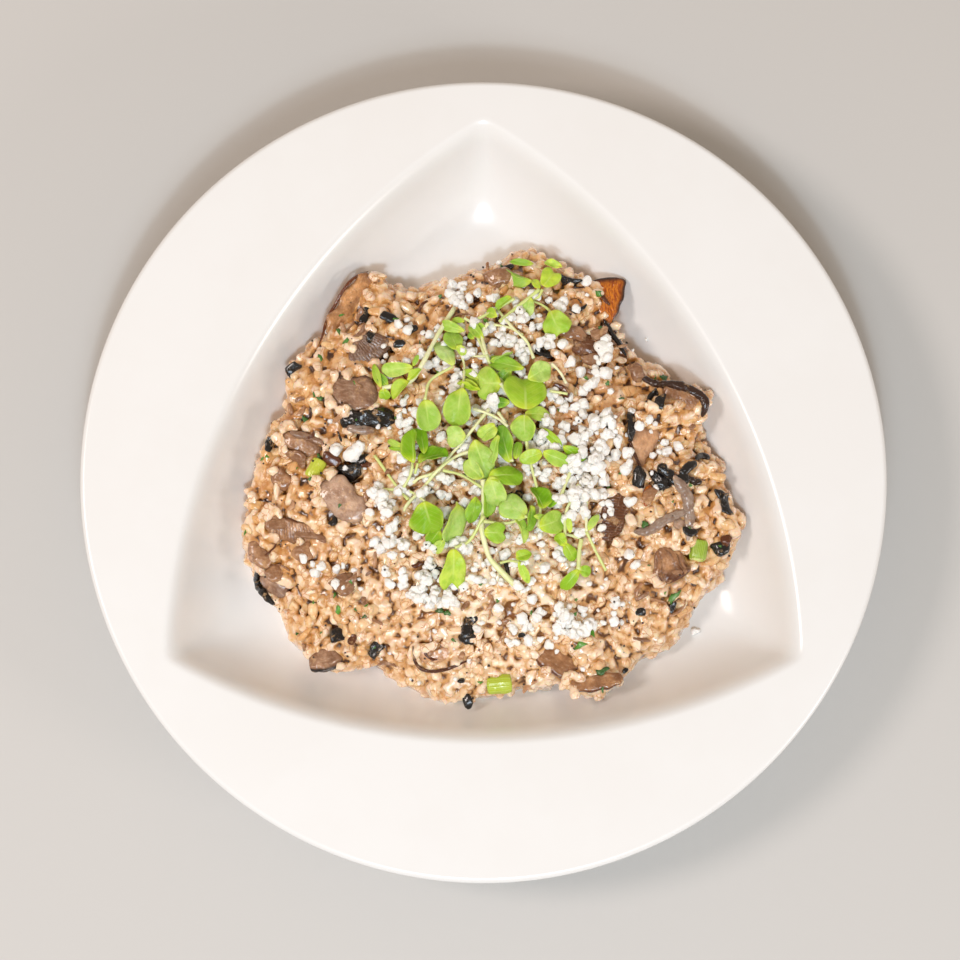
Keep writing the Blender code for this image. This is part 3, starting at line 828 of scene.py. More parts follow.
def build_mushroom(name, piece, seed, ground):
    """One piece: its slab, and the strips of skin or flesh that belong to it."""
    rings, rind, gill, edge, spot = slice_surface(piece, seed)
    turn, middle = stance(piece)
    looks = dict(tone=piece["tone"], warm=piece.get("warm", 0.0), amber=piece.get("amber", 0.0),
                 grey=piece.get("grey", 0.0), fibre=FIBRE[piece["face"]])
    bodies = [(rings @ turn.T + middle, rind, gill, edge, spot, looks)]
    ground.lay_points(bodies[0][0].reshape(-1, 3))
    for number, strip in enumerate(piece.get("strips", [])):
        rings, spot = strip_surface(strip, seed + number * 11.0, ground)
        lip = 0 * spot[..., 0] + strip.get("rind", 1.0)
        bodies.append((rings, lip, 0 * lip, 0 * lip + 0.4, spot, {**looks, **strip}))

    def spread(values):
        return np.concatenate([values.ravel(), [values[0].mean(), values[-1].mean()]])

    points, faces, marks = [], [], []
    for rings, rind, gill, edge, spot, looks in bodies:
        body, body_faces = skin(rings)
        faces.append(body_faces + sum(len(part) for part in points))
        points.append(body)
        even = np.ones(len(body))
        shade = looks["tone"] + 0.25 * noise_at(spot * [1, 1, 0.3], 6 * MM, seed + 41.0)
        shade -= 0.12 * noise_at(spot, 2.6 * MM, seed + 47.0)
        marks.append([spread(rind), spread(gill), spread(edge), spread(shade.clip(0, 1)),
                      looks["warm"] * even, looks["amber"] * even, looks["grey"] * even,
                      looks["fibre"] * even,
                      spread(spot[..., 0]) / MM + seed, spread(spot[..., 1]) / MM])
    made = new_object("slice_" + name, np.concatenate(points), np.concatenate(faces))
    names = ("rind", "gill", "edge", "tone", "warm", "amber", "grey", "fibre", "run", "breadth")
    paint(made, **dict(zip(names, np.concatenate(marks, 1))))
    return made


# ---- What lies on the heap ----

GRID_CELL = 0.8 * MM
GRID_REACH = 125.0 * MM


class Ground:
    """The height of all that has been laid so far, in small squares, for the next thing to lie on."""

    def __init__(self):
        self.count = int(2 * GRID_REACH / GRID_CELL)
        middles = (np.arange(self.count) + 0.5) * GRID_CELL - GRID_REACH
        self.x, self.y = np.meshgrid(middles, middles, indexing="ij")
        self.height = plate_top(self.x, self.y)

    def lay(self, thing):
        points = np.empty(len(thing.data.vertices) * 3)
        thing.data.vertices.foreach_get("co", points)
        self.lay_points(points.reshape(-1, 3))

    def lay_points(self, points):
        square = ((points[:, :2] + GRID_REACH) / GRID_CELL).astype(int)
        square = square.clip(0, self.count - 1)
        np.maximum.at(self.height, (square[:, 0], square[:, 1]), points[:, 2])

    def close_gaps(self):
        """Raises squares that no point fell in to the level of the squares round them."""
        low = self.height
        around = [np.roll(low, step, axis) for axis in (0, 1) for step in (1, -1)]
        self.height = np.maximum(low, np.median(np.stack(around), 0))

    def window(self, x, y, radius):
        steps = int(radius / GRID_CELL) + 1
        row = int((x + GRID_REACH) / GRID_CELL)
        column = int((y + GRID_REACH) / GRID_CELL)
        area = (slice(row - steps, row + steps + 1), slice(column - steps, column + steps + 1))
        away = np.hypot(self.x[area] - x, self.y[area] - y) / radius
        return area, away

    def level(self, x, y, radius, share=0.6):
        """The height that this share of the squares under a thing stay below."""
        area, away = self.window(x, y, radius)
        return float(np.quantile(self.height[area][away < 1.0], share))

    def add(self, x, y, radius, middle, half_height):
        """Lays a rounded thing, so that the next one lies on it."""
        area, away = self.window(x, y, radius)
        top = middle + half_height * np.sqrt(np.maximum(1 - away ** 2, 0))
        self.height[area] = np.where(away < 1, np.maximum(self.height[area], top), self.height[area])


def crumb_bodies(rng, sizes, template):
    """Crumbled bits: a few knobs grown together, broken flat on some sides, rough all over."""
    count = len(sizes)
    spread = unit(rng.normal(size=(count, CRUMB_KNOBS, 3)))
    spread = spread * rng.uniform(0.15, 0.55, (count, CRUMB_KNOBS, 1))
    reach = rng.uniform(0.42, 0.68, (count, CRUMB_KNOBS, 1))
    towards = np.einsum("nki,vi->nkv", spread, template)
    inside = reach ** 2 - (spread ** 2).sum(-1, keepdims=True) + towards ** 2
    swell = np.where(inside > 0, towards + np.sqrt(np.maximum(inside, 0)), 0.35).max(1)
    body = template[None] * swell[..., None]
    for _ in range(6):
        across = unit(rng.normal(size=(count, 3)))
        past = np.einsum("nvi,ni->nv", body, across) - rng.uniform(0.45, 0.85, (count, 1))
        body = body - np.maximum(past, 0)[..., None] * across[:, None]
    rough = np.zeros((count, len(template)))
    for _ in range(4):
        direction = unit(rng.normal(size=(count, 3))) * rng.uniform(6, 11, (count, 1))
        rough += np.sin(template @ direction.T + rng.uniform(0, TAU, count)).T
    body = body * (1.42 + 0.06 * rough)[..., None] * (1, 1, 0.78)
    return body * sizes[:, None, None] / 2


def settle(rng, ground, places, sizes, template, sink=0.25):
    """Drops crumbs one after another on the ground and returns their bodies."""
    bodies = crumb_bodies(rng, sizes, template)
    for body, (x, y), size in zip(bodies, places, sizes):
        half = size / 2
        middle = ground.level(x, y, half * 0.8 + GRID_CELL) + half * (1 - 2 * sink)
        ground.add(x, y, half * 0.9, middle, half * 0.7)
        body += (x, y, middle)
    return bodies


# Where the cheese fell: middle of a patch, its half width and half height, then how many crumbs
# and their sizes, in millimetres.

CHEESE_PATCHES = [
    (35, 9, 15, 19, 130, 1.8, 4.6), (37, -12, 12, 10, 34, 1.8, 4.6),
    (-26, 10, 7, 20, 58, 1.8, 4.4), (-38, -14, 7, 12, 26, 1.8, 4.6),
    (4, 27, 22, 27, 110, 1.8, 4.8), (-2, -6, 20, 16, 60, 1.7, 4.4),
    (-20, -34, 17, 13, 56, 1.7, 4.4), (18, -34, 20, 12, 40, 1.6, 4.2),
    (16, -58, 20, 9, 30, 1.5, 4.4), (-18, -46, 8, 3.2, 20, 2.2, 4.8),
    (34, -54, 8, 5, 22, 2.0, 4.6), (52, -51, 3.2, 4.5, 7, 2.2, 4.2),
    (-28, 48, 10, 12, 18, 1.5, 3.8), (-10, 72, 6, 5, 10, 2.0, 4.2),
    (16, 60, 16, 11, 50, 1.6, 4.4), (44, 42, 9, 10, 14, 1.6, 4.2),
    (56, 12, 12, 12, 16, 1.4, 3.2), (-56, -34, 12, 8, 9, 2.0, 4.0),
    (-12, 44, 12, 14, 34, 1.6, 4.4), (0, 0, 62, 78, 90, 0.9, 2.2),
]
CHEESE_LUMPS = [
    (45.9, 49.2, 6.6), (46.9, 22.7, 6.4), (31.1, 68.2, 4.6), (35.7, 64.7, 3.4), (30.3, 51.5, 4.0),
    (33.3, 44.2, 4.6), (37.1, 40.3, 4.4), (46.6, 40.0, 5.0), (38.2, 33.0, 4.4), (59.0, 18.8, 4.2),
    (51.0, 13.5, 4.2), (54.8, 9.7, 4.6), (54.4, 3.5, 5.2), (69.6, 10.0, 4.2), (74.1, 12.3, 4.4),
    (55.4, -10.2, 4.4), (54.9, -29.9, 4.6), (57.9, -33.3, 3.8), (-12.4, 75.5, 4.6), (-2.1, 72.0, 3.4),
    (3.6, 69.7, 4.2), (-10.1, 67.8, 3.6), (-29.2, 56.9, 3.8), (-56.0, 11.2, 5.0), (-50.0, 8.4, 6.2),
    (-47.0, 11.0, 5.2), (81.4, -57.1, 3.0), (39.9, 76.7, 4.2), (63.5, 55.8, 1.4), (57.7, 50.4, 1.2),
    (66.8, 46.5, 1.0), (44.0, 10.0, 5.0), (42.5, 4.0, 5.4), (45.5, -2.0, 4.8), (36.0, -22.0, 4.2),
    (-23.0, -38.0, 4.6), (-35.0, -20.0, 4.4), (-30.0, -26.0, 4.4), (10.0, 52.0, 5.0), (-3.0, 59.0, 4.6),
]
LUMP_FROM = 2.6
CRUMB_KNOBS = 5


def patch_places(rng, x, y, half_width, half_height, count):
    """Places in a patch, thick in its middle and thin towards its edge."""
    turn = rng.uniform(0, TAU, count)
    away = rng.uniform(0, 1, count) ** 0.62 * 1.12
    return np.stack([x + half_width * away * np.cos(turn), y + half_height * away * np.sin(turn)],
                    -1) * MM


def build_cheese(ground):
    """Crumbled white cheese: the larger lumps finely rounded, the small crumbs plainer."""
    rng = np.random.default_rng(23)
    places = [np.array([lump[:2] for lump in CHEESE_LUMPS]) * MM]
    sizes = [np.array([lump[2] for lump in CHEESE_LUMPS])]
    for x, y, half_width, half_height, count, smallest, largest in CHEESE_PATCHES:
        places.append(patch_places(rng, x, y, half_width, half_height, count))
        sizes.append(smallest + (largest - smallest) * rng.uniform(0, 1, count) ** 1.2)
    places, sizes = np.concatenate(places), np.concatenate(sizes)
    made = []
    for name, detail, wanted in (("cheese_lumps", 3, sizes >= LUMP_FROM),
                                 ("cheese_crumbs", 2, sizes < LUMP_FROM)):
        template, faces = ball(detail)
        bodies = settle(rng, ground, places[wanted], sizes[wanted] * MM, template)
        thing = new_object(name, *joined(bodies, faces))
        paint(thing, tone=np.repeat(rng.uniform(0, 1, (len(bodies), 1)), len(template), 1))
        made.append(thing)
    return made


# Small dark pieces of mushroom skin and stem; some rows are black bits set in the deepest gaps of the
# heap as painted shade. Place, length, width and heading, and a tone from black at 0 to brown at 1.

DARK_BITS = [
    (-73, 42, 7.5, 4.5, 50, 0.0), (90.6, -26.3, 7.5, 6, 20, 0.0), (92.3, -10.3, 8.3, 4.5, -75, 0.0),
    (-51, 2, 11, 7, 10, 0.0), (-35.7, 61.2, 7.5, 4, -25, 0.0), (-42.9, 54.2, 5, 3, 60, 0.0),
    (33.4, 77.1, 8, 3.6, -20, 0.1), (67.4, 28.4, 6.5, 4, 80, 0.0), (56, 19.6, 11, 4, 85, 0.0),
    (58.5, -1.4, 10, 5, 75, 0.0), (59.7, -51.1, 4, 3, 0, 0.0), (72.1, -48.8, 5, 2.6, 70, 0.1),
    (60, -61.3, 6.5, 1.4, -8, 0.3), (53.9, -72.9, 2.6, 1.6, 40, 0.0), (-55, -60, 7.5, 5.5, 20, 0.1),
    (-49.8, -61.6, 4.5, 3, 60, 0.2), (-40.8, -65, 7.5, 5, 50, 0.0), (14.5, -60.1, 3, 2.2, 10, 0.0),
    (-8.5, -77, 3, 2, 20, 0.0), (-6.2, -84.4, 6.5, 3.6, -70, 0.1), (-81.8, 13.5, 6, 3.4, 75, 0.0),
    (-56.9, -17, 4.6, 3.4, 50, 0.1), (81.3, -27.3, 4.6, 2.6, -35, 0.0), (9.5, 83, 5, 2.6, 10, 0.0),
    (23.5, 48, 9, 3.4, -15, 0.0), (34.5, 55, 12, 5, -12, 0.55), (44, 55.4, 7, 5, 20, 0.6),
    (42.8, 46.1, 9.5, 5, 15, 0.45), (58.4, 40.7, 8, 5.5, 110, 0.35), (62.6, -7.9, 7, 4.4, 60, 0.9),
    (-52.6, -40.1, 10, 8, 30, 0.4), (-79.4, -36, 8, 6.5, 10, 0.7), (-68.5, -28.4, 8, 6.5, 30, 0.8),
    (-84, -29.9, 10, 7, -30, 0.75), (-78.1, -17.8, 8, 4, 5, 0.5), (-65.6, -22.3, 12, 4, -12, 0.4),
    (6, 79, 11, 7.5, 15, 0.6), (-32, 51, 5, 3, 0, 0.1), (39, -59.4, 5, 3, 50, 0.5),
    (12, -8, 8, 4, 20, 0.1), (-9, 26, 7, 3.6, 60, 0.1), (30, 33, 7, 4, -30, 0.2),
    (-57.6, 6.5, 8, 5, -35, 0.25), (-71, 7.5, 9, 5, -35, 0.4), (-47, 7, 8, 4.5, -10, 0.0),
    (92.2, -24.2, 5.5, 4, 60, 0.2), (78, -20.6, 5.5, 3, -15, 0.0), (90.4, -7.2, 7, 3.5, -60, 0.0),
    (-45.5, 63, 6, 4, 70, 0.15), (64.5, 31.5, 6, 3.5, 60, 0.0), (-28, 57, 6, 3, 20, 0.0),
]
RANDOM_SHREDS = 80


def bit_bodies(rng, ground, rows, template):
    """Flat, bent and crumpled bits, pressed half into whatever they lie on."""
    bodies = []
    for x, y, length, width, heading, _ in rows:
        thickness = max(1.0, 0.45 * width)
        half = np.array([length, width, thickness]) * MM / 2
        squared = np.sign(template) * abs(template) ** 0.8
        body = squared * half
        crumple = noise_at(body, 2.2 * MM, rng.uniform(0, 90))
        fine = noise_at(body, 0.9 * MM, rng.uniform(0, 90))
        body = body * (1 + 0.32 * crumple + 0.12 * fine)[:, None]
        body[:, 1] += rng.uniform(-0.5, 0.5) * half[0] * (template[:, 0] ** 2 - 0.4)
        body[:, 2] += rng.uniform(-0.3, 0.5) * half[0] * (template[:, 0] ** 2 - 0.3)
        tilt = rotation("X", rng.normal(0, 22)) @ rotation("Y", rng.normal(0, 10))
        spot = (x * MM, y * MM)
        middle = ground.level(*spot, width * MM * 0.4 + GRID_CELL, 0.7) + 0.12 * half[2]
        body = body @ (rotation("Z", heading) @ tilt).T + (*spot, middle)
        ground.add(*spot, half[1], middle, half[2])
        bodies.append(body)
    return np.array(bodies)


def build_dark_bits(ground):
    rng = np.random.default_rng(37)
    rows = list(DARK_BITS)
    for _ in range(RANDOM_SHREDS):
        turn = rng.uniform(0, TAU)
        radius = heap_reach(np.array(turn)) * rng.uniform(0.1, 0.96) ** 0.5 / MM
        rows.append((radius * math.cos(turn), radius * math.sin(turn), rng.uniform(2.5, 8.5),
                     rng.uniform(0.8, 2.4), rng.uniform(0, 180), rng.uniform(0.0, 1.0) ** 0.7))
    template, faces = ball(3)
    bodies = bit_bodies(rng, ground, rows, template)
    # Dark mushroom bits, some set in the deepest gaps as painted shade, as one piece.
    thing = new_object("mushroom_bits_and_gap_shade", *joined(bodies, faces))
    tones = np.array([row[5] for row in rows])
    paint(thing, tone=np.repeat(tones[:, None], len(template), 1) * 0.75,
          rind=np.repeat((tones[:, None] < 0.3) * 1.0, len(template), 1),
          gill=np.zeros(bodies.shape[:2]), amber=np.zeros(bodies.shape[:2]),
          edge=np.full(bodies.shape[:2], 0.4), grey=np.full(bodies.shape[:2], 0.15),
          fibre=np.full(bodies.shape[:2], 0.6),
          warm=np.repeat((tones[:, None] > 0.15) * 0.7, len(template), 1),
          run=bodies[..., 0] / MM, breadth=bodies[..., 1] / MM)
    return thing


PEPPER_SPECKS = 260


def build_pepper(ground):
    """Coarse black pepper over the whole heap."""
    rng = np.random.default_rng(41)
    template, faces = ball(1)
    turn = rng.uniform(0, TAU, PEPPER_SPECKS)
    radius = heap_reach(turn) * rng.uniform(0, 0.98, PEPPER_SPECKS) ** 0.5
    places = np.stack([radius * np.cos(turn), radius * np.sin(turn)], -1)
    sizes = (0.4 + 0.8 * rng.uniform(0, 1, PEPPER_SPECKS) ** 2) * MM
    bodies = settle(rng, ground, places, sizes, template, sink=0.3)
    return new_object("pepper_specks", *joined(bodies, faces))


# Chopped herb: place, length, width, and a tone from nearly black at 0 to bright green at 1.

HERB_BITS = [
    (-54.8, -50.3, 3.2, 3.0, 1.0), (37, -63.2, 6.5, 3.0, 0.8), (40.5, -59, 4.6, 2.6, 0.9),
    (44.8, -73.4, 5.5, 2.6, 0.15), (72.5, -45, 6.5, 2.8, 0.6), (30.3, -52.2, 3.0, 2.0, 0.6),
    (-55.5, 56.9, 2.6, 1.6, 0.4), (-52.4, 52.3, 3.0, 2.0, 0.6), (-62.3, 46.5, 3.0, 2.0, 0.5),
    (-62.2, 30, 2.8, 1.6, 0.4), (-68.2, 22.7, 3.2, 2.0, 0.3), (43.7, 71.7, 4.0, 2.4, 0.6),
    (69.4, 38.8, 3.6, 3.0, 0.2), (47.3, 36.1, 2.2, 1.6, 0.4), (61, -18.2, 3.0, 2.4, 0.3),
    (-16.4, -50.7, 3.6, 2.6, 0.15), (-13.6, -51.8, 3.0, 2.0, 0.3), (-1.3, -40.5, 2.4, 2.0, 0.5),
    (1.0, 60.0, 3.0, 2.6, 1.0),
]
RANDOM_HERBS = 70


def build_herbs(ground):
    """Flecks of chopped leaf, each a thin ragged flake that is curled a little."""
    rng = np.random.default_rng(43)
    rows = list(HERB_BITS)
    for _ in range(RANDOM_HERBS):
        turn = rng.uniform(0, TAU)
        radius = heap_reach(np.array(turn)) * rng.uniform(0, 0.97) ** 0.5 / MM
        rows.append((radius * math.cos(turn), radius * math.sin(turn), rng.uniform(0.9, 2.6),
                     rng.uniform(0.6, 1.5), rng.uniform(0.1, 0.9)))
    template, faces = ball(2)
    bodies = []
    for x, y, length, width, _ in rows:
        half = np.array([length, width, 0.45]) * MM / 2
        turn = np.arctan2(template[:, 1], template[:, 0])
        ragged = 1 + 0.25 * np.sin(3 * turn + rng.uniform(0, 6)) + 0.2 * np.sin(5 * turn + x)
        body = template * half * ragged[:, None]
        body[:, 2] += rng.uniform(-0.5, 0.6) * body[:, 0] ** 2 / half[0]
        lean = rotation("X", rng.normal(0, 25)) @ rotation("Y", rng.normal(0, 15))
        middle = ground.level(x * MM, y * MM, 1.2 * MM, 0.7) + 0.15 * MM
        bodies.append(body @ (rotation("Z", rng.uniform(0, 360)) @ lean).T
                      + (x * MM, y * MM, middle))
    bodies = np.array(bodies)
    thing = new_object("chopped_herb", *joined(bodies, faces))
    tones = np.array([row[4] for row in rows])
    paint(thing, tone=np.repeat(tones[:, None], len(template), 1))
    return thing


# ---- Spring onion ----

ONIONS = {
    "onion_left": dict(at=(-63.5, 3), size=(7.0, 6.6), heading=62, tone=0.9),
    "onion_right": dict(at=(82, -27), size=(8.0, 6.6), heading=80, tone=0.2),
    "onion_low": dict(at=(6, -78), size=(8.5, 7.6), heading=5, tone=0.6),
}
ONION_LIFT = 1.2
ONION_SIDES = 48
ONION_STEPS = 17


def build_onion(name, piece, seed):
    """A short ribbed length of green stalk, hollow, with a second layer inside the first."""
    length, width = np.array(piece["size"]) * MM
    x, y = np.array(piece["at"]) * MM
    turn = np.arange(ONION_SIDES) / ONION_SIDES * TAU
    bodies, faces = [], []
    for outer, inner in ((1.0, 0.78), (0.66, 0.44)):
        outline = []
        for share in np.linspace(-1, 1, ONION_STEPS):
            outline.append((share, outer * (1 - 0.10 * abs(share) ** 5)))
        for share in np.linspace(1, -1, ONION_STEPS):
            outline.append((share * 0.985, inner))
        rings = []
        for share, radius in outline:
            along = np.full(ONION_SIDES, share * length / 2 * (1 if outer == 1.0 else 0.94))
            rib = 1 + 0.035 * np.cos(turn * 13 + seed) * (radius > 0.5)
            spot = np.stack([along, np.cos(turn) * width / 2, np.sin(turn) * width / 2], -1)
            dent = 1 + 0.08 * noise_at(spot, 3 * MM, seed)
            along = along + 0.5 * MM * np.sin(turn + seed) * share
            rings.append(np.stack([along, np.cos(turn) * radius * rib * dent * width / 2,
                                   np.sin(turn) * radius * rib * dent * width / 2 * 0.85], -1))
        rings.append(rings[0])
        rings = np.array(rings)
        shell = triangles(ring_faces(len(rings), ONION_SIDES))
        last = (len(rings) - 1) * ONION_SIDES
        shell = np.where(shell >= last, shell - last, shell)
        faces.append(shell + sum(len(body) for body in bodies))
        bodies.append(rings[:-1].reshape(-1, 3))
    local = np.concatenate(bodies)
    depth = np.hypot(local[:, 1] / width, local[:, 2] / width / 0.85) * 2
    middle = heap_top(x, y)[0] + ONION_LIFT * MM
    points = local @ rotation("Z", piece["heading"]).T + (x, y, middle)
    made = new_object("cut_" + name, points, np.concatenate(faces))
    paint(made, depth=depth, along=local[:, 0] / length, tone=np.full(len(local), piece["tone"]),
          turn=np.arctan2(local[:, 2], local[:, 1]))
    return made


# ---- Microgreens ----
# Each seed leaf: where its stalk joins, where its tip or notch lies, and its width, seen from
# above in millimetres; then its kind, how pale, how cool a green and how far it is lifted.

LEAVES = [
    (-11.5, 41.5, -17.2, 53.8, 6.4, "oval", 0.85, 0.9, 6),
    (-9.7, 48.0, -13.1, 56.5, 7.2, "oval", 0.35, 0.2, 3),
    (-26.7, 41.1, -38.8, 40.8, 5.6, "oval", 0.75, 0.4, 4),
    (-26.7, 41.5, -24.8, 46.1, 1.9, "oval", 0.4, 0.2, 4),
    (-38.7, 33.5, -42.2, 43.4, 3.0, "blade", 0.6, 0.1, 3),
    (-36.1, 34.3, -40.6, 39.2, 3.5, "blade", 0.15, 0.1, 2),
    (-27.8, 35.4, -34.9, 29.7, 5.0, "fold", 0.7, 0.0, 4),
    (-38.3, 33.5, -37.0, 29.0, 4.5, "oval", 0.6, 0.0, 2),
    (-7.0, 59.5, -12.7, 61.5, 2.5, "blade", 0.5, 0.1, 3),
    (-3.6, 52.6, -5.9, 55.7, 3.0, "oval", 0.2, 0.1, 2),
    (0.9, 56.5, -2.5, 58.0, 3.0, "oval", 0.6, 0.2, 3),
    (-1.3, 31.2, -9.6, 35.8, 4.5, "fold", 0.75, 0.0, 2),
    (18.8, 76.9, 8.2, 79.6, 4.8, "fold", 0.3, 0.2, 5),
    (22.9, 73.8, 27.5, 80.3, 8.0, "heart", 0.75, 0.0, 6),
    (21.4, 72.6, 19.2, 77.6, 3.0, "oval", 0.7, 0.0, 5),
    (25.6, 63.8, 28.2, 55.7, 10.5, "heart", 0.45, 0.1, 6),
    (18.0, 69.2, 16.1, 62.0, 5.3, "oval", 0.8, 0.7, 3),
    (10.8, 69.5, 4.7, 64.9, 3.4, "fold", 0.5, 0.1, 4),
    (2.1, 44.2, 11.5, 45.7, 6.0, "fold", 0.7, 0.5, 4),
    (6.6, 34.3, -1.7, 34.6, 13.0, "heart", 0.55, 0.2, 8),
    (16.8, 36.5, 25.5, 41.9, 8.0, "oval", 0.75, 0.6, 3),
    (15.6, 24.0, 16.0, 36.5, 16.5, "heart", 0.4, 0.0, 9),
    (10.0, 27.4, 2.4, 27.4, 4.0, "oval", 0.1, 0.1, 2),
    (15.6, 22.8, 25.4, 23.2, 5.6, "oval", 0.6, 0.2, 4),
    (15.6, 22.4, 15.2, 12.5, 9.0, "oval", 0.5, 0.3, 6),
    (10.0, 4.2, 5.8, 18.6, 6.5, "oval", 0.1, 0.1, 2),
    (5.4, 16.7, -1.3, 14.4, 5.5, "oval", 0.8, 0.4, 2),
    (29.9, 10.6, 38.6, 4.9, 4.5, "blade", 0.35, 0.0, 5),
    (21.7, 17.5, 29.5, 10.6, 3.5, "blade", 0.5, 0.0, 5),
    (22.0, 8.0, 14.1, 4.9, 5.5, "oval", 0.6, 0.1, 6),
    (22.4, 8.4, 32.2, 4.2, 5.5, "oval", 0.45, 0.2, 5),
    (2.0, -1.5, 15.2, 0.4, 8.0, "oval", 0.3, 0.0, 7),
    (21.9, -13.2, 19.7, -4.5, 7.0, "fold", 0.1, 0.0, 3),
    (16.3, -16.2, 8.1, -10.6, 10.0, "heart", 0.6, 0.6, 8),
    (-22.0, -10.6, -19.7, -21.1, 13.0, "heart", 0.35, 0.0, 9),
    (-16.3, -20.8, -20.8, -26.8, 6.0, "oval", 0.3, 0.0, 4),
    (-10.0, -10.6, -13.3, -26.8, 9.0, "fold", 0.6, 0.5, 7),
    (-11.5, -28.3, -10.7, -42.6, 10.0, "heart", 0.75, 0.1, 6),
    (0.2, -22.3, 7.7, -22.3, 8.0, "heart", 0.35, 0.1, 6),
    (11.4, -16.6, 17.0, -25.3, 4.0, "fold", 0.7, 0.3, 4),
    (12.2, -31.7, 17.4, -29.8, 4.5, "fold", 0.5, 0.0, 4),
    (13.3, -32.8, 17.0, -41.1, 3.5, "blade", 0.8, 0.2, 4),
    (20.8, -20.0, 30.9, -16.6, 9.0, "oval", 0.45, 0.2, 6),
    (30.9, -26.8, 27.2, -22.7, 4.5, "oval", 0.65, 0.0, 5),
    (30.5, -26.0, 34.6, -32.1, 5.0, "oval", 0.4, 0.0, 4),
    (18.9, -15.9, 24.2, -16.6, 2.6, "oval", 0.8, 0.3, 5),
    (28.0, -10.2, 23.8, -11.7, 2.3, "oval", 0.15, 0.0, 3),
    (35.7, -35.8, 29.7, -43.3, 5.0, "oval", 0.35, 0.0, 5),
    (35.7, -35.8, 40.6, -36.6, 4.5, "oval", 0.4, 0.1, 5),
    (39.6, -21.1, 43.0, -14.7, 3.0, "oval", 0.75, 0.5, 5),
    (-22.1, 28.2, -20.2, 16.3, 9.5, "oval", 0.5, 0.3, 7),
    (-8.1, 32.3, -10.4, 20.5, 10.5, "heart", 0.45, 0.2, 7),
    (-1.7, 32.0, -9.3, 35.8, 4.0, "blade", 0.7, 0.0, 4),
    (-6.6, 14.4, -13.4, 14.4, 8.0, "heart", 0.75, 0.6, 4),
    (-25.8, 4.2, -27.3, 17.5, 6.0, "fold", 0.35, 0.0, 4),
    (-24.7, 4.9, -13.4, 8.4, 6.0, "fold", 0.1, 0.0, 4),
    (-27.3, 10.6, -36.0, 10.6, 2.7, "blade", 0.3, 0.0, 2),
    (-3.6, 12.2, 1.7, -1.1, 9.5, "oval", 0.6, 0.5, 6),
    (0.2, -1.5, -7.7, 4.2, 6.0, "fold", 0.7, 0.4, 3),
    (4.3, 18.6, -2.1, 14.1, 4.5, "oval", 0.75, 0.3, 3),
    (2.6, -1.4, 5.6, -12.4, 8.5, "oval", 0.6, 0.5, 6),
    (0.8, -3.2, 2.4, -16.4, 5.0, "fold", 0.4, 0.1, 3),
    (15.4, 40.4, 3.0, 43.6, 6.0, "heart", 0.35, 0.1, 4),
    (10.4, 40.4, 5.0, 34.6, 5.0, "oval", 0.2, 0.1, 2),
    (-3.0, -8.6, -4.2, -18.6, 5.5, "oval", 0.3, 0.1, 3),
    (5.6, 14.4, 2.8, 3.4, 3.6, "fold", 0.5, 0.3, 5),
    (-22.4, 7.6, -23.6, 17.2, 5.0, "heart", 0.15, 0.0, 4),
    (18.2, -11.8, 17.2, -21.6, 3.8, "fold", 0.25, 0.1, 3),
    (0.4, 52.6, -6.2, 59.6, 4.0, "fold", 0.5, 0.2, 4),
    (-14.4, -25.2, -18.8, -29.4, 4.2, "oval", 0.8, 0.4, 4),
    (12.0, 5.4, 13.6, 12.4, 3.6, "oval", 0.3, 0.1, 4),
    (-7.2, 55.8, -15.6, 58.6, 4.2, "heart", 0.65, 0.3, 4),
    (30.4, 82.0, 23.6, 84.8, 3.4, "oval", 0.85, 0.2, 6),
    (-1.4, 36.2, -8.0, 40.4, 3.4, "oval", 0.6, 0.1, 3),
    (-30.6, 10.8, -36.8, 13.2, 2.6, "blade", 0.5, 0.2, 4),
    (5.4, 61.4, 0.8, 64.6, 4.0, "oval", 0.7, 0.1, 5),
    (19.6, 83.4, 9.8, 85.4, 2.8, "blade", 0.3, 0.2, 5),
    (-10.2, 49.6, -6.8, 46.6, 3.4, "oval", 0.8, 0.3, 5),
    (-28.6, 36.2, -24.0, 40.4, 3.2, "blade", 0.6, 0.0, 4),
    (32.6, -22.0, 32.0, -16.2, 2.4, "blade", 0.8, 0.2, 4),
]
LEAF_RINGS = 8
LEAF_SECTORS = 34
LEAF_FOLDS = {"fold": 0.75, "blade": 0.4, "oval": 0.22, "heart": 0.18}

# Each stalk: the points that it passes, seen from above in millimetres, and its thickness.

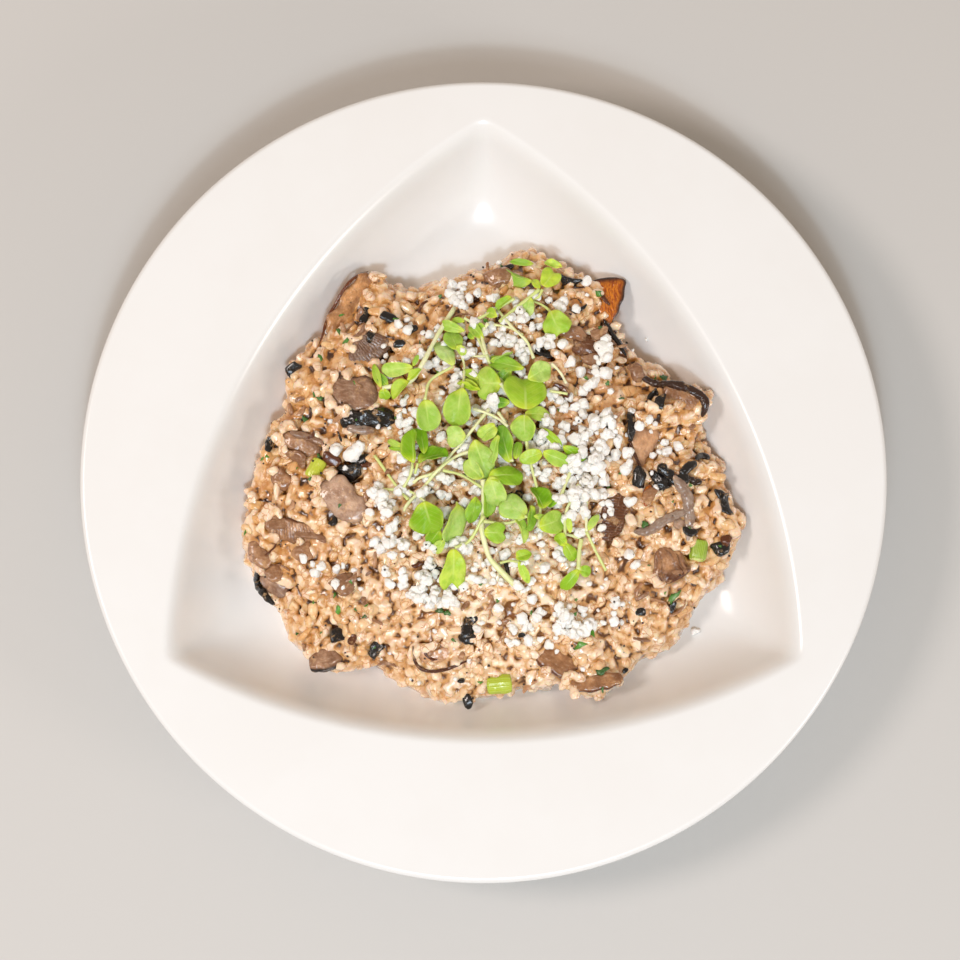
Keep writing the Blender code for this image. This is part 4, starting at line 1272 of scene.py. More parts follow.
STALKS = [
    (1.7, (-11.2, 65.7), (-18, 53.4), (-23.3, 42.3), (-27.8, 35.8), (-38.3, 33.5)),
    (1.1, (-7.4, 61.1), (-4, 58.8), (-2.1, 53), (0.6, 45.7)),
    (1.0, (-7.8, 48.4), (-3.6, 46.1), (1.3, 45.3)),
    (1.0, (-9.3, 48.8), (-7.4, 43.1), (-7.4, 36.9), (-8.1, 32.3)),
    (1.3, (21.4, 72.6), (16.9, 68.8), (8.5, 61.8), (6.2, 59.5)),
    (1.0, (22.6, 72.6), (21, 69.5), (18.4, 68.8), (22.5, 66.8), (25.2, 64.5), (25.6, 62.6)),
    (1.2, (11.9, 68.8), (5.1, 64.9), (-3.2, 60.3)),
    (1.1, (5.5, 64.5), (11.2, 56.9), (16.4, 51.5), (19.1, 44.6)),
    (0.9, (4, 58.4), (10, 57.2), (15, 54)),
    (1.3, (1.7, 58.8), (-0.6, 54.2), (1.3, 45.7)),
    (1.0, (25.9, 42.7), (29.3, 39.6), (31.5, 35.4)),
    (1.0, (25.1, 32.3), (31.9, 31.2)),
    (1.2, (5.5, 23.6), (8.5, 18.6), (10.3, 9.1), (10.7, 4.6)),
    (2.0, (-0.2, -2.3), (0.2, -5.7), (-0.2, -15.9), (-0.6, -20.8), (1.7, -30.2), (5, -34.7), (13.6, -43.3)),
    (1.2, (2.1, 24.7), (-3.2, 17.9), (-7.7, 12.5), (-11.5, 8.4), (-17.5, 1.2), (-23.9, -1.1), (-26.5, -3)),
    (1.2, (-4, 8.7), (-10.4, 6.8), (-17.1, 1.5), (-22.4, -4.5), (-28.4, -11), (-29.9, -13.6)),
    (1.1, (-4, 24.7), (0.9, 23.2), (5.8, 20.9), (9.2, 17.9)),
    (1.1, (-41.2, 7.6), (-32.5, -4.5), (-28.4, -9.4)),
    (1.1, (-42.7, -4.9), (-31.8, -5.3), (-28.4, -1.9), (-26.9, 2.3), (-26.9, 6.5), (-28.1, 9.5)),
    (0.9, (-32.6, 8.7), (-28.4, 6.8), (-26.2, 5.3)),
    (1.0, (-31.8, -5.3), (-26.5, -6.8), (-22, -10.6)),
    (1.1, (-0.6, -5.3), (-8.1, -0.4), (-15.3, 1.5)),
    (1.0, (-24.7, 4.2), (-25.8, 0.4)),
    (1.1, (39.3, -2.6), (38.8, -12), (38.8, -21.5)),
    (1.1, (38.8, -21.5), (42.1, -28.3), (46.2, -35.8)),
    (1.6, (36.9, -24.2), (36.1, -28.7), (35.7, -35.8)),
    (1.2, (32.9, 1.5), (29.5, -7.2), (27.6, -9.8)),
    (1.2, (35.9, -3.8), (34.4, -7.9), (31.3, -13.6), (30.5, -26)),
    (1.2, (0.2, -15.9), (-5.1, -24.9), (-10.7, -27.9)),
    (1.0, (6.2, -33.2), (9.9, -32.4), (13.6, -33.2)),
    (1.2, (15.6, 22.4), (16.7, 9.1), (21.2, -9.8), (20.8, -20)),
    (1.2, (36.5, -23.5), (28, -21.5), (20.8, -20)),
    (1.2, (14, 26), (9, 30.5), (6.6, 34.3)),
    (1.2, (16.3, -16.2), (9, -18.5), (0, -18)),
    (1.3, (14, 26), (4, 40), (1, 46)),
    (1.1, (-22.1, 28.2), (-20, 36), (-11.5, 41.5)),
]
STALK_SIDES = 10
CANOPY_CLEAR = 3.2 * MM
CANOPY_RISE = 3.6 * MM


def canopy(x, y):
    """Height of the tangle of stalks above the rice: it rises towards the middle of the heap."""
    rise = np.exp(-((x - 4 * MM) / (26 * MM)) ** 2 - ((y - 6 * MM) / (44 * MM)) ** 2)
    return heap_top(x, y) + CANOPY_CLEAR + CANOPY_RISE * rise


def leaf_outline(kind, notch):
    """Share of the length and of the half width all round a blade, from its notched tip."""
    turn = np.arange(LEAF_SECTORS) / LEAF_SECTORS * TAU
    along, across = 0.5 + 0.5 * np.cos(turn), np.sin(turn)
    back = (1 - np.cos(turn)) / 2
    if kind == "heart":
        away = np.minimum(turn, TAU - turn)
        along = along * 1.16 - (0.16 + notch) * np.exp(-(away / 0.30) ** 2)
        across = across * (1 - 0.42 * back ** 1.6)
    elif kind == "blade":
        across = across * abs(across) ** 0.35 * (1 - 0.15 * back)
    else:
        across = across * (1 - 0.30 * back ** 2)
    return along, across / abs(across).max()


def leaf_body(rng, row):
    """One thin blade, folded, cupped and wavy, and how far along and across each point lies."""
    x0, y0, x1, y1, width, kind, _, _, lift = row
    foot = np.array([x0, y0]) * MM
    tip = np.array([x1, y1]) * MM
    foot_height = canopy(*foot)[0] + lift * 0.45 * MM
    tip_height = canopy(*tip)[0] + (lift - 1.5) * 0.55 * MM + rng.uniform(-0.8, 1.2) * MM
    start = np.array([*foot, foot_height])
    along_axis = np.array([*tip, tip_height]) - start
    length = np.linalg.norm(along_axis)
    along_axis /= length
    roll = math.radians(rng.uniform(-24, 24) + (38 if kind == "fold" else 0) * rng.choice([-1, 1]))
    side = unit(np.cross([0, 0, 1], along_axis))
    up = np.cross(along_axis, side)
    side, up = side * math.cos(roll) + up * math.sin(roll), up * math.cos(roll) - side * math.sin(roll)
    half = width / 2 * MM / max(math.cos(roll), 0.7)

    out_along, out_across = leaf_outline(kind, rng.uniform(-0.12, 0.12))
    out_across = out_across * (1 + 0.05 * np.sin(np.arange(LEAF_SECTORS) * 0.47 + rng.uniform(0, 6)))
    turn = np.arange(LEAF_SECTORS) / LEAF_SECTORS * TAU
    fold = LEAF_FOLDS[kind] * rng.uniform(0.7, 1.3)
    cup = rng.uniform(-0.42, 0.42)
    droop = rng.uniform(0.04, 0.42)
    wave = rng.uniform(0.06, 0.15) * half
    phase = rng.uniform(0, TAU, 2)
    sheets = []
    for face in (1, -1):
        sheet = []
        for share in np.linspace(0, 1, LEAF_RINGS + 1)[1:] ** 0.85:
            along = 0.5 + (out_along - 0.5) * share
            across = out_across * share
            height = fold * half * (np.sqrt(across ** 2 + 0.02) - 0.14)
            height += cup * half * (across ** 2 + (along - 0.5) ** 2)
            height -= droop * length * (along ** 2 - 0.15)
            height += wave * share ** 2 * (np.sin(3 * turn + phase[0]) + np.sin(5 * turn + phase[1]))
            height += face * (0.20 - 0.14 * share ** 4) * MM
            sheet.append(np.stack([along * length, across * half, height, along, across,
                                   face + 0 * along], -1))
        sheets.append(sheet)
    rings = np.array(sheets[0] + sheets[1][::-1])
    points, faces = skin(rings)
    local, shares = points[:, :3], points[:, 3:]
    placed = start + local[:, :1] * along_axis + local[:, 1:2] * side + local[:, 2:] * up
    return placed, faces, shares, start


def build_leaves():
    """All the blades as one piece, and the points where their stalks have to meet them."""
    rng = np.random.default_rng(59)
    points, faces, shares, tones, feet = [], [], [], [], []
    for row in LEAVES:
        body, body_faces, body_shares, foot = leaf_body(rng, row)
        faces.append(body_faces + sum(len(part) for part in points))
        points.append(body)
        shares.append(body_shares)
        tones.append(np.tile([row[6] + rng.uniform(-0.06, 0.06), row[7], rng.uniform(0, 1)],
                             (len(body), 1)))
        feet.append(foot)
    shares, tones = np.concatenate(shares), np.concatenate(tones)
    thing = new_object("microgreen_leaves", np.concatenate(points), np.concatenate(faces))
    paint(thing, along=shares[:, 0], across=shares[:, 1], face=shares[:, 2], pale=tones[:, 0],
          cool=tones[:, 1], leaf=tones[:, 2])
    return thing, np.array(feet)


def smooth_route(points, steps):
    """A curve through all the points (Catmull-Rom), with this many steps between two of them."""
    points = np.asarray(points, float)
    ends = np.concatenate([[2 * points[0] - points[1]], points, [2 * points[-1] - points[-2]]])
    route = []
    for a, b, c, d in zip(ends, ends[1:], ends[2:], ends[3:]):
        for t in np.arange(steps) / steps:
            route.append(0.5 * (2 * b + (c - a) * t + (2 * a - 5 * b + 4 * c - d) * t * t
                                + (3 * b - a - 3 * c + d) * t ** 3))
    return np.array(route + [points[-1]])


def tube(route, radii, sides):
    """A round closed stalk along a route, with its own radius at each point."""
    run = unit(np.gradient(route, axis=0))
    side = unit(np.cross(run, [0.0, 0.0, 1.0]))
    up = np.cross(side, run)
    turn = np.arange(sides) / sides * TAU
    rings = (route[:, None] + radii[:, None, None]
             * (np.cos(turn)[None, :, None] * side[:, None] + np.sin(turn)[None, :, None] * up[:, None]))
    return skin(rings)


def build_stalks(feet):
    """Thin bent stalks that run from leaf to leaf through the tangle."""
    rng = np.random.default_rng(61)
    points, faces, tones = [], [], []
    for thickness, *places in STALKS:
        flat = np.array(places) * MM
        height = canopy(flat[:, 0], flat[:, 1]) + rng.uniform(-1.2, 1.6, len(flat)) * MM
        route = np.column_stack([flat, height])
        for end in (0, -1):
            away = np.hypot(*(feet[:, :2] - route[end, :2]).T)
            if away.min() < 3 * MM:
                route[end, 2] = feet[away.argmin(), 2]
        route = smooth_route(route, 7)
        place = np.linspace(0, 1, len(route))
        uneven = 1 + 0.10 * np.sin(place * 17 + rng.uniform(0, 6)) + 0.15 * (2 * place - 1) ** 4
        body, body_faces = tube(route, thickness / 2 * MM * uneven, STALK_SIDES)
        faces.append(body_faces + sum(len(part) for part in points))
        points.append(body)
        tones.append(np.full(len(body), rng.uniform(0, 1)))
    thing = new_object("microgreen_stalks", np.concatenate(points), np.concatenate(faces))
    paint(thing, pale=np.concatenate(tones))
    return thing


# ---- Finishes ----

class Wiring:
    """Short words for adding nodes to one tree and joining them."""

    def __init__(self, tree):
        self.tree = tree

    def put(self, kind, output=0, settings=None, **inputs):
        """Adds a node, fills or joins its named inputs and gives the wanted output."""
        node = self.tree.nodes.new("ShaderNode" + kind)
        for name, value in (settings or {}).items():
            setattr(node, name, value)
        for name, value in inputs.items():
            self.join(node.inputs[self.spoken(name)], value)
        return node.outputs[output]

    def spoken(self, name):
        """i3 means input number three; otherwise an underline stands for a space."""
        return int(name[1:]) if name[1:].isdigit() else name.replace("_", " ")

    def join(self, socket, value):
        if isinstance(value, bpy.types.NodeSocket):
            self.tree.links.new(value, socket)
        elif isinstance(value, (tuple, list)) and len(value) == 3 and socket.type == "RGBA":
            socket.default_value = (*value, 1.0)
        else:
            socket.default_value = value

    def maths(self, operation, a, b=0.0, clamp=False):
        settings = {"operation": operation, "use_clamp": clamp}
        return self.put("Math", settings=settings, i0=a, i1=b)

    def attribute(self, name):
        return self.put("Attribute", output="Fac", settings={"attribute_name": name})

    def span(self, value, low, high, start=0.0, end=1.0):
        """Value from low..high turned into start..end, held at both ends."""
        return self.put("MapRange", settings={"interpolation_type": "SMOOTHSTEP"},
                        i0=value, i1=low, i2=high, i3=start, i4=end)

    def blend(self, share, a, b):
        node = self.tree.nodes.new("ShaderNodeMix")
        node.data_type = "RGBA"
        self.join(node.inputs[0], share)
        self.join(node.inputs[6], a)
        self.join(node.inputs[7], b)
        return node.outputs[2]


def wet_film():
    """A patchy wet film: where it lies thick the surface is smooth, and it pools in fine ripples."""
    tree = bpy.data.node_groups.new("wet_film", "ShaderNodeTree")
    for name, kind, value in (("Wet", "NodeSocketFloat", 0.2), ("Damp", "NodeSocketFloat", 0.5),
                              ("Ripple", "NodeSocketFloat", 0.3), ("Size", "NodeSocketFloat", 1.0)):
        socket = tree.interface.new_socket(name, in_out="INPUT", socket_type=kind)
        socket.default_value = value
    tree.interface.new_socket("Roughness", in_out="OUTPUT", socket_type="NodeSocketFloat")
    tree.interface.new_socket("Normal", in_out="OUTPUT", socket_type="NodeSocketVector")
    w = Wiring(tree)
    given = tree.nodes.new("NodeGroupInput").outputs
    ends = tree.nodes.new("NodeGroupOutput").inputs
    place = w.put("TexCoord", output="Object")
    scale = w.maths("DIVIDE", 1000.0, given["Size"])
    patch = w.put("TexNoise", Vector=place, Scale=w.maths("MULTIPLY", scale, 0.22), Detail=2.0)
    ripple = w.put("TexNoise", Vector=place, Scale=w.maths("MULTIPLY", scale, 0.9), Detail=3.0,
                   Roughness=0.6)
    share = w.span(patch, 0.38, 0.62)
    spread = w.maths("SUBTRACT", given["Damp"], given["Wet"])
    w.join(ends["Roughness"], w.maths("ADD", given["Wet"], w.maths("MULTIPLY", spread, share)))
    w.join(ends["Normal"], w.put("Bump", Height=ripple, Strength=given["Ripple"], Distance=MM))
    return tree


def mottle():
    """Cloudy patches and finer specks that carry one colour over into another."""
    tree = bpy.data.node_groups.new("mottle", "ShaderNodeTree")
    for name, value in (("Base", (0.5, 0.5, 0.5, 1)), ("Patch", (0.4, 0.4, 0.4, 1))):
        socket = tree.interface.new_socket(name, in_out="INPUT", socket_type="NodeSocketColor")
        socket.default_value = value
    for name, value in (("Size", 4.0), ("Amount", 0.6)):
        socket = tree.interface.new_socket(name, in_out="INPUT", socket_type="NodeSocketFloat")
        socket.default_value = value
    tree.interface.new_socket("Color", in_out="OUTPUT", socket_type="NodeSocketColor")
    w = Wiring(tree)
    given = tree.nodes.new("NodeGroupInput").outputs
    ends = tree.nodes.new("NodeGroupOutput").inputs
    place = w.put("TexCoord", output="Object")
    scale = w.maths("DIVIDE", 1000.0, given["Size"])
    cloud = w.put("TexNoise", Vector=place, Scale=scale, Detail=4.0, Roughness=0.65)
    share = w.maths("MULTIPLY", w.span(cloud, 0.36, 0.64), given["Amount"])
    w.join(ends["Color"], w.blend(share, given["Base"], given["Patch"]))
    return tree


def seams():
    """Broken, wandering thin lines, as where grains meet under the cream."""
    tree = bpy.data.node_groups.new("seams", "ShaderNodeTree")
    for name, value in (("Size", 3.0), ("Reach", 0.1)):
        socket = tree.interface.new_socket(name, in_out="INPUT", socket_type="NodeSocketFloat")
        socket.default_value = value
    tree.interface.new_socket("Mask", in_out="OUTPUT", socket_type="NodeSocketFloat")
    w = Wiring(tree)
    given = tree.nodes.new("NodeGroupInput").outputs
    ends = tree.nodes.new("NodeGroupOutput").inputs
    place = w.put("TexCoord", output="Object")
    wander = w.put("TexNoise", output="Color", Vector=place, Scale=220.0, Detail=3.0)
    pushed = w.put("VectorMath", settings={"operation": "MULTIPLY_ADD"}, i0=wander,
                   i1=(0.004, 0.004, 0.004), i2=place)
    cell = w.put("TexVoronoi", output="Distance", settings={"feature": "DISTANCE_TO_EDGE"},
                 Vector=pushed, Scale=w.maths("DIVIDE", 1000.0, given["Size"]))
    line = w.span(cell, 0.0, given["Reach"], 1.0, 0.0)
    broken = w.span(w.put("TexNoise", Vector=place, Scale=150.0, Detail=2.0), 0.42, 0.56)
    w.join(ends["Mask"], w.maths("MULTIPLY", line, broken))
    return tree


GROUPS = {"wet_film": wet_film(), "mottle": mottle(), "seams": seams()}


def use(w, name, **inputs):
    """Adds one of the shared groups, fills or joins its named inputs and gives the node."""
    node = w.tree.nodes.new("ShaderNodeGroup")
    node.node_tree = GROUPS[name]
    for label, value in inputs.items():
        w.join(node.inputs[label], value)
    return node


def clouded(w, base, patch, size, amount):
    """One colour carried over into another in cloudy patches."""
    return use(w, "mottle", Base=base, Patch=patch, Size=size, Amount=amount).outputs["Color"]


def new_finish(name, **uniform):
    """A material with its uniform values on the shader's own sockets, and its wiring."""
    made = bpy.data.materials.new(name)
    made.use_nodes = True
    shader = made.node_tree.nodes["Principled BSDF"]
    w = Wiring(made.node_tree)
    for label, value in uniform.items():
        w.join(shader.inputs[label.replace("_", " ")], value)
    return made, shader, w


def film(w, shader, wet, damp, ripple, size):
    """Joins the wet film's roughness and normal to a shader."""
    wetness = use(w, "wet_film", Wet=wet, Damp=damp, Ripple=ripple, Size=size)
    w.join(shader.inputs["Roughness"], wetness.outputs["Roughness"])
    w.join(shader.inputs["Normal"], wetness.outputs["Normal"])


def glaze_finish():
    """Warm white porcelain glaze; the foot ring that stands on the table is bare and dull."""
    made, shader, w = new_finish("white_glaze", Coat_Weight=0.4, Coat_Roughness=0.22)
    height = w.put("SeparateXYZ", output="Z", i0=w.put("TexCoord", output="Object"))
    bare = w.span(height, 0.0003, 0.0012, 1.0, 0.0)
    fired = clouded(w, (0.80, 0.80, 0.79), (0.785, 0.78, 0.765), 60.0, 0.8)
    w.join(shader.inputs["Base Color"], w.blend(bare, fired, (0.62, 0.58, 0.52)))
    waver = w.put("TexNoise", Vector=w.put("TexCoord", output="Object"), Scale=14.0, Detail=1.0)
    w.join(shader.inputs["Normal"], w.put("Bump", Height=waver, Strength=0.06, Distance=0.004))
    gloss = w.span(waver, 0.3, 0.7, 0.17, 0.26)
    w.join(shader.inputs["Roughness"], w.maths("ADD", gloss, w.maths("MULTIPLY", bare, 0.5)))
    return made


def rice_finish():
    """Rice in cream: pale grains, amber sauce between, painted highlight on knobs, painted shade in hollows.
    """
    made, shader, w = new_finish(
        "creamed_rice", Subsurface_Weight=0.35, Subsurface_Scale=0.0014,
        Subsurface_Radius=(1.0, 0.5, 0.2), Coat_Weight=0.8, Coat_Roughness=0.05, Coat_IOR=1.55,
        Specular_IOR_Level=0.45)
    tone, grain, hollow = w.attribute("tone"), w.attribute("grain"), w.attribute("hollow")
    cream = w.attribute("cream")
    kernel = w.blend(tone, (0.76, 0.42, 0.16), (0.89, 0.67, 0.40))
    cloudy = clouded(w, kernel, (0.66, 0.32, 0.09), 2.2, 0.6)
    sauce = clouded(w, (0.80, 0.47, 0.20), (0.50, 0.20, 0.05), 5.0, 0.9)
    body = w.blend(w.span(grain, 0.05, 0.8), sauce, cloudy)
    body = w.blend(w.maths("MULTIPLY", cream, 0.66), body, (0.98, 0.86, 0.68))
    # Painted highlight: the knobs are lightened to pale cream.
    knob_highlight = w.span(hollow, -0.1, -0.9, 0.0, 0.5)
    body = w.blend(knob_highlight, body, (0.99, 0.86, 0.70))
    # Thin seams of amber sauce where grains meet, darkened there as painted shade of the creases.
    seam = use(w, "seams", Size=3.2, Reach=0.10).outputs["Mask"]
    body = w.blend(w.maths("MULTIPLY", seam, 0.8), body, (0.50, 0.20, 0.04))
    # Amber sauce in the shallow hollows, also painted shade there.
    amber = w.blend(cream, (0.54, 0.235, 0.055), (0.78, 0.48, 0.22))
    body = w.blend(w.span(hollow, 0.0, 0.35), body, amber)
    # Painted shade: the deepest hollows turn dark brown.
    bottom = w.blend(cream, (0.045, 0.010, 0.001), (0.24, 0.085, 0.018))
    w.join(shader.inputs["Base Color"], w.blend(w.span(hollow, 0.36, 0.85), body, bottom))
    film(w, shader, 0.04, 0.15, 0.35, 1.4)
    return made


def mushroom_finish():
    """Cooked mushroom: tan flesh toasted towards its edges, dark gills and rind, smears of cream."""
    made, shader, w = new_finish(
        "cooked_mushroom", Subsurface_Weight=0.2, Subsurface_Scale=0.0012,
        Subsurface_Radius=(1.0, 0.5, 0.25), Coat_Weight=0.7, Coat_Roughness=0.05,
        Specular_IOR_Level=0.25)
    tone, rind, gill = w.attribute("tone"), w.attribute("rind"), w.attribute("gill")
    warm = w.attribute("warm")
    plain = w.blend(tone, (0.075, 0.028, 0.012), (0.84, 0.50, 0.30))
    roasted = w.blend(tone, (0.12, 0.032, 0.006), (0.84, 0.42, 0.16))
    flesh = w.blend(warm, plain, roasted)
    toasted = w.blend(0.6, flesh, (0.11, 0.034, 0.010))
    flesh = w.blend(w.span(w.attribute("edge"), 0.15, 0.95, 0.0, 0.8), flesh, toasted)
    grain_place = w.put("CombineXYZ", X=w.attribute("run"),
                        Y=w.maths("MULTIPLY", w.attribute("breadth"), 3.0))
    streak = w.put("TexNoise", Vector=grain_place, Scale=0.36, Detail=4.0, Roughness=0.65)
    flesh = w.blend(w.attribute("grey"), flesh, (0.40, 0.31, 0.245))
    fibre = w.attribute("fibre")
    dark_share = w.maths("MULTIPLY", w.span(streak, 0.47, 0.64, 0.0, 0.7), fibre)
    dark_streak = w.blend(dark_share, flesh, toasted)
    pale_share = w.maths("MULTIPLY", w.span(streak, 0.46, 0.34, 0.0, 0.5), fibre)
    pale_streak = w.blend(pale_share, dark_streak, (0.85, 0.62, 0.45))
    stained = clouded(w, pale_streak, (0.15, 0.052, 0.018), 4.5, 0.55)
    lined = w.blend(w.span(gill, -0.1, -0.9, 0.0, 0.75), stained, (0.06, 0.022, 0.010))
    amber = w.blend(w.span(streak, 0.42, 0.60), (0.62, 0.19, 0.012), (0.30, 0.055, 0.005))
    amber = w.blend(w.span(w.attribute("edge"), 0.1, 0.8, 0.0, 0.8), amber, (0.13, 0.022, 0.004))
    lined = w.blend(w.attribute("amber"), lined, amber)
    dark_rind = w.blend(warm, (0.008, 0.0065, 0.006), (0.14, 0.034, 0.008))
    whole = w.blend(rind, lined, dark_rind)
    place = w.put("TexCoord", output="Object")
    smear = w.put("TexNoise", Vector=place, Scale=260.0, Detail=4.0, Roughness=0.7)
    cream = w.span(smear, 0.56, 0.68, 0.0, 0.45)
    cream = w.maths("MULTIPLY", cream, w.span(w.attribute("amber"), 0.0, 1.0, 1.0, 0.1))
    w.join(shader.inputs["Base Color"], w.blend(cream, whole, (0.72, 0.44, 0.21)))
    film(w, shader, 0.05, 0.2, 0.5, 1.6)
    return made


def cheese_finish():
    """Crumbly white cheese: matt, faintly translucent, creamier in cloudy patches."""
    made, shader, w = new_finish(
        "white_cheese", Subsurface_Weight=0.2, Subsurface_Scale=0.0006,
        Subsurface_Radius=(1.0, 0.9, 0.75))
    tone = w.attribute("tone")
    paste = w.blend(tone, (0.99, 0.965, 0.90), (1.0, 0.99, 0.95))
    body = clouded(w, paste, (0.98, 0.94, 0.85), 1.2, 0.4)
    w.join(shader.inputs["Base Color"], body)
    film(w, shader, 0.40, 0.7, 0.7, 0.6)
    return made


def leaf_finish():
    """Seed leaves, deep to yellow green or cool mint: pale midrib, faint veins, painted glow near the stalk
    and painted light at the rim.
    """
    made, shader, w = new_finish(
        "leaf_green", Subsurface_Weight=0.25, Subsurface_Scale=0.0015,
        Subsurface_Radius=(0.6, 1.0, 0.15), Specular_IOR_Level=0.22)
    along, across, leaf = w.attribute("along"), w.attribute("across"), w.attribute("leaf")
    pale = w.maths("POWER", w.attribute("pale"), 1.25)
    green = w.blend(pale, (0.125, 0.33, 0.004), (0.76, 0.90, 0.10))
    green = w.blend(w.maths("MULTIPLY", w.attribute("cool"), 0.85), green, (0.56, 0.76, 0.36))
    patchy = clouded(w, green, (0.22, 0.46, 0.006), 5.0, 0.55)
    # Painted glow of light through the blade: yellower near the stalk.
    yellow = w.span(along, 0.02, 0.35, 0.55, 0.0)
    patchy = w.blend(yellow, patchy, (0.72, 0.82, 0.06))
    off = w.maths("ABSOLUTE", across)
    # Painted light: the blade turns paler towards its rim.
    edge = w.span(off, 0.72, 1.0, 0.0, 0.4)
    patchy = w.blend(edge, patchy, (0.66, 0.84, 0.14))
    rib = w.span(off, 0.02, 0.09, 1.0, 0.0)
    slant = w.maths("SUBTRACT", along, w.maths("MULTIPLY", off, 0.45))
    veins = w.maths("SINE", w.maths("ADD", w.maths("MULTIPLY", slant, 38.0),
                                    w.maths("MULTIPLY", leaf, 6.0)))
    vein = w.span(veins, 0.80, 1.0, 0.0, 0.10)
    light = w.maths("MAXIMUM", w.maths("MULTIPLY", rib, w.span(along, 0.45, 0.9, 0.35, 0.0)), vein)
    w.join(shader.inputs["Base Color"], w.blend(light, patchy, (0.70, 0.84, 0.28)))
    film(w, shader, 0.28, 0.48, 0.25, 1.4)
    return made


def stalk_finish():
    made, shader, w = new_finish(
        "stalk_green", Subsurface_Weight=0.3, Subsurface_Scale=0.001,
        Subsurface_Radius=(0.8, 1.0, 0.3))
    length = w.blend(w.attribute("pale"), (0.60, 0.68, 0.20), (0.88, 0.87, 0.58))
    body = clouded(w, length, (0.66, 0.74, 0.28), 6.0, 0.5)
    w.join(shader.inputs["Base Color"], body)
    film(w, shader, 0.25, 0.45, 0.2, 1.0)
    return made


def onion_finish():
    """Spring onion green: ribbed skin outside, paler flesh on the cut and inside."""
    made, shader, w = new_finish(
        "spring_onion", Subsurface_Weight=0.3, Subsurface_Scale=0.001,
        Subsurface_Radius=(0.7, 1.0, 0.2), Coat_Weight=0.6, Coat_Roughness=0.08)
    skin_green = w.blend(w.attribute("tone"), (0.17, 0.33, 0.008), (0.56, 0.60, 0.02))
    stripe = w.maths("SINE", w.maths("MULTIPLY", w.attribute("turn"), 26.0))
    ribbed = w.blend(w.span(stripe, -1.0, 1.0, 0.0, 0.35), skin_green, (0.62, 0.72, 0.18))
    flesh = w.span(w.attribute("depth"), 0.90, 0.72)
    w.join(shader.inputs["Base Color"], w.blend(flesh, ribbed, (0.70, 0.76, 0.26)))
    film(w, shader, 0.15, 0.35, 0.3, 0.8)
    return made


def herb_finish():
    made, shader, w = new_finish("green_herb", Coat_Weight=0.4, Coat_Roughness=0.1)
    green = w.blend(w.attribute("tone"), (0.012, 0.05, 0.012), (0.12, 0.36, 0.03))
    body = clouded(w, green, (0.05, 0.14, 0.02), 1.0, 0.5)
    w.join(shader.inputs["Base Color"], body)
    film(w, shader, 0.2, 0.5, 0.4, 0.8)
    return made


def pepper_finish():
    made, shader, w = new_finish("black_pepper", Specular_IOR_Level=0.4)
    body = clouded(w, (0.028, 0.018, 0.013), (0.09, 0.06, 0.04), 0.5, 0.7)
    w.join(shader.inputs["Base Color"], body)
    film(w, shader, 0.35, 0.6, 0.5, 0.3)
    return made


# ---- The set: floor, lights and camera ----

EYE_DISTANCE = 1.0
EYE_ELEVATION = math.radians(83.24)
LIGHT_FRONT = (0, -0.70, 1.32)
LIGHT_FRONT_COLOUR = (0.75, 0.88, 1.0)
EYE_TARGET = Vector((-1.3 * MM, -1.9 * MM, PLATE_HEIGHT))
LENS = 99.4
FLOOR_REACH = 3.0


def aim(thing, target):
    thing.rotation_euler = (Vector(target) - thing.location).to_track_quat("-Z", "Y").to_euler()


def soft_light(name, place, size, watts, colour=(1, 1, 1)):
    lamp = bpy.data.lights.new(name, "AREA")
    lamp.shape = "DISK"
    lamp.size = size
    lamp.energy = watts
    lamp.color = colour
    thing = bpy.data.objects.new(name, lamp)
    thing.location = place
    bpy.context.scene.collection.objects.link(thing)
    aim(thing, (0, 0, 0))


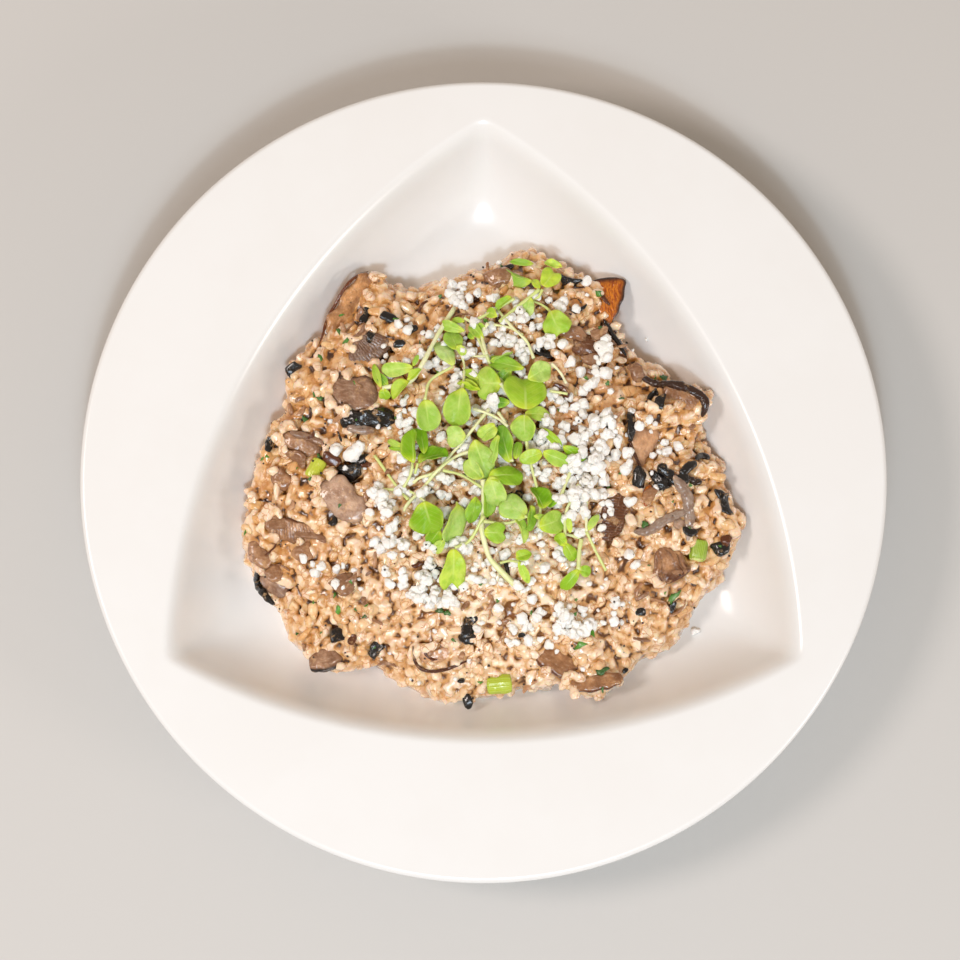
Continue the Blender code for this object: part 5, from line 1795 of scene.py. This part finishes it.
def build_set():
    """A plain pale floor, soft light from the diner's side, and the camera nearly overhead."""
    corners = [(x * FLOOR_REACH, y * FLOOR_REACH, 0) for x, y in ((-1, -1), (1, -1), (1, 1), (-1, 1))]
    floor = new_object("floor", corners, [(0, 1, 2, 3)])
    paper, shader, w = new_finish("pale_floor", Roughness=0.9)
    w.join(shader.inputs["Base Color"], (0.56, 0.55, 0.53))
    floor.data.materials.append(paper)
    soft_light("front_high", LIGHT_FRONT, 0.5, 7.4, LIGHT_FRONT_COLOUR)
    soft_light("front_spark", LIGHT_FRONT, 0.12, 4.8, LIGHT_FRONT_COLOUR)
    soft_light("left_high", (-0.92, 0, 1.18), 0.4, 7.9, (1.0, 0.89, 0.84))
    soft_light("right_low", (1.20, -0.70, 0.56), 0.4, 4.4, (1.0, 0.92, 0.88))
    scene = bpy.context.scene
    scene.world = bpy.data.worlds.new("room")
    scene.world.use_nodes = True
    sky = scene.world.node_tree.nodes["Background"]
    sky.inputs["Color"].default_value = (1.0, 0.82, 0.66, 1)
    sky.inputs["Strength"].default_value = 0.50
    scene.view_settings.view_transform = "Standard"
    eye = bpy.data.cameras.new("eye")
    eye.lens = LENS
    camera = bpy.data.objects.new("camera", eye)
    out = Vector((0, -math.cos(EYE_ELEVATION), math.sin(EYE_ELEVATION)))
    camera.location = EYE_TARGET + out * EYE_DISTANCE
    scene.collection.objects.link(camera)
    aim(camera, EYE_TARGET)
    scene.camera = camera


# ---- Putting it together ----

build_set()
serve(build_plate(), glaze_finish(), "white_glaze", "plate")
rice = rice_finish()
heap, loose = build_rice(covered_by_mushroom)
serve(heap, rice, "creamed_rice", "risotto")
serve(loose, rice, "creamed_rice")
ground = Ground()
ground.lay(heap)
ground.close_gaps()
ground.close_gaps()
ground.lay(loose)
mushroom = mushroom_finish()
for number, (name, piece) in enumerate(MUSHROOMS.items()):
    slot = "dark_mushroom" if piece["rind"] == "all" else "brown_mushroom"
    made = build_mushroom(name, piece, number * 17.0, ground)
    serve(made, mushroom, slot, "mushroom_" + name)
    ground.lay(made)
ground.close_gaps()
onion = onion_finish()
for number, (name, piece) in enumerate(ONIONS.items()):
    serve(build_onion(name, piece, number * 3.0), onion, "spring_onion", name)
serve(build_dark_bits(ground), mushroom, "dark_mushroom")
herb = herb_finish()
serve(build_herbs(ground), herb, "green_herb")
cheese = cheese_finish()
for crumbs in build_cheese(ground):
    serve(crumbs, cheese, "white_cheese")
serve(build_pepper(ground), pepper_finish(), "dark_mushroom")
leaves, feet = build_leaves()
serve(leaves, leaf_finish(), "leaf_green", "microgreens")
serve(build_stalks(feet), stalk_finish(), "leaf_green", "microgreens")
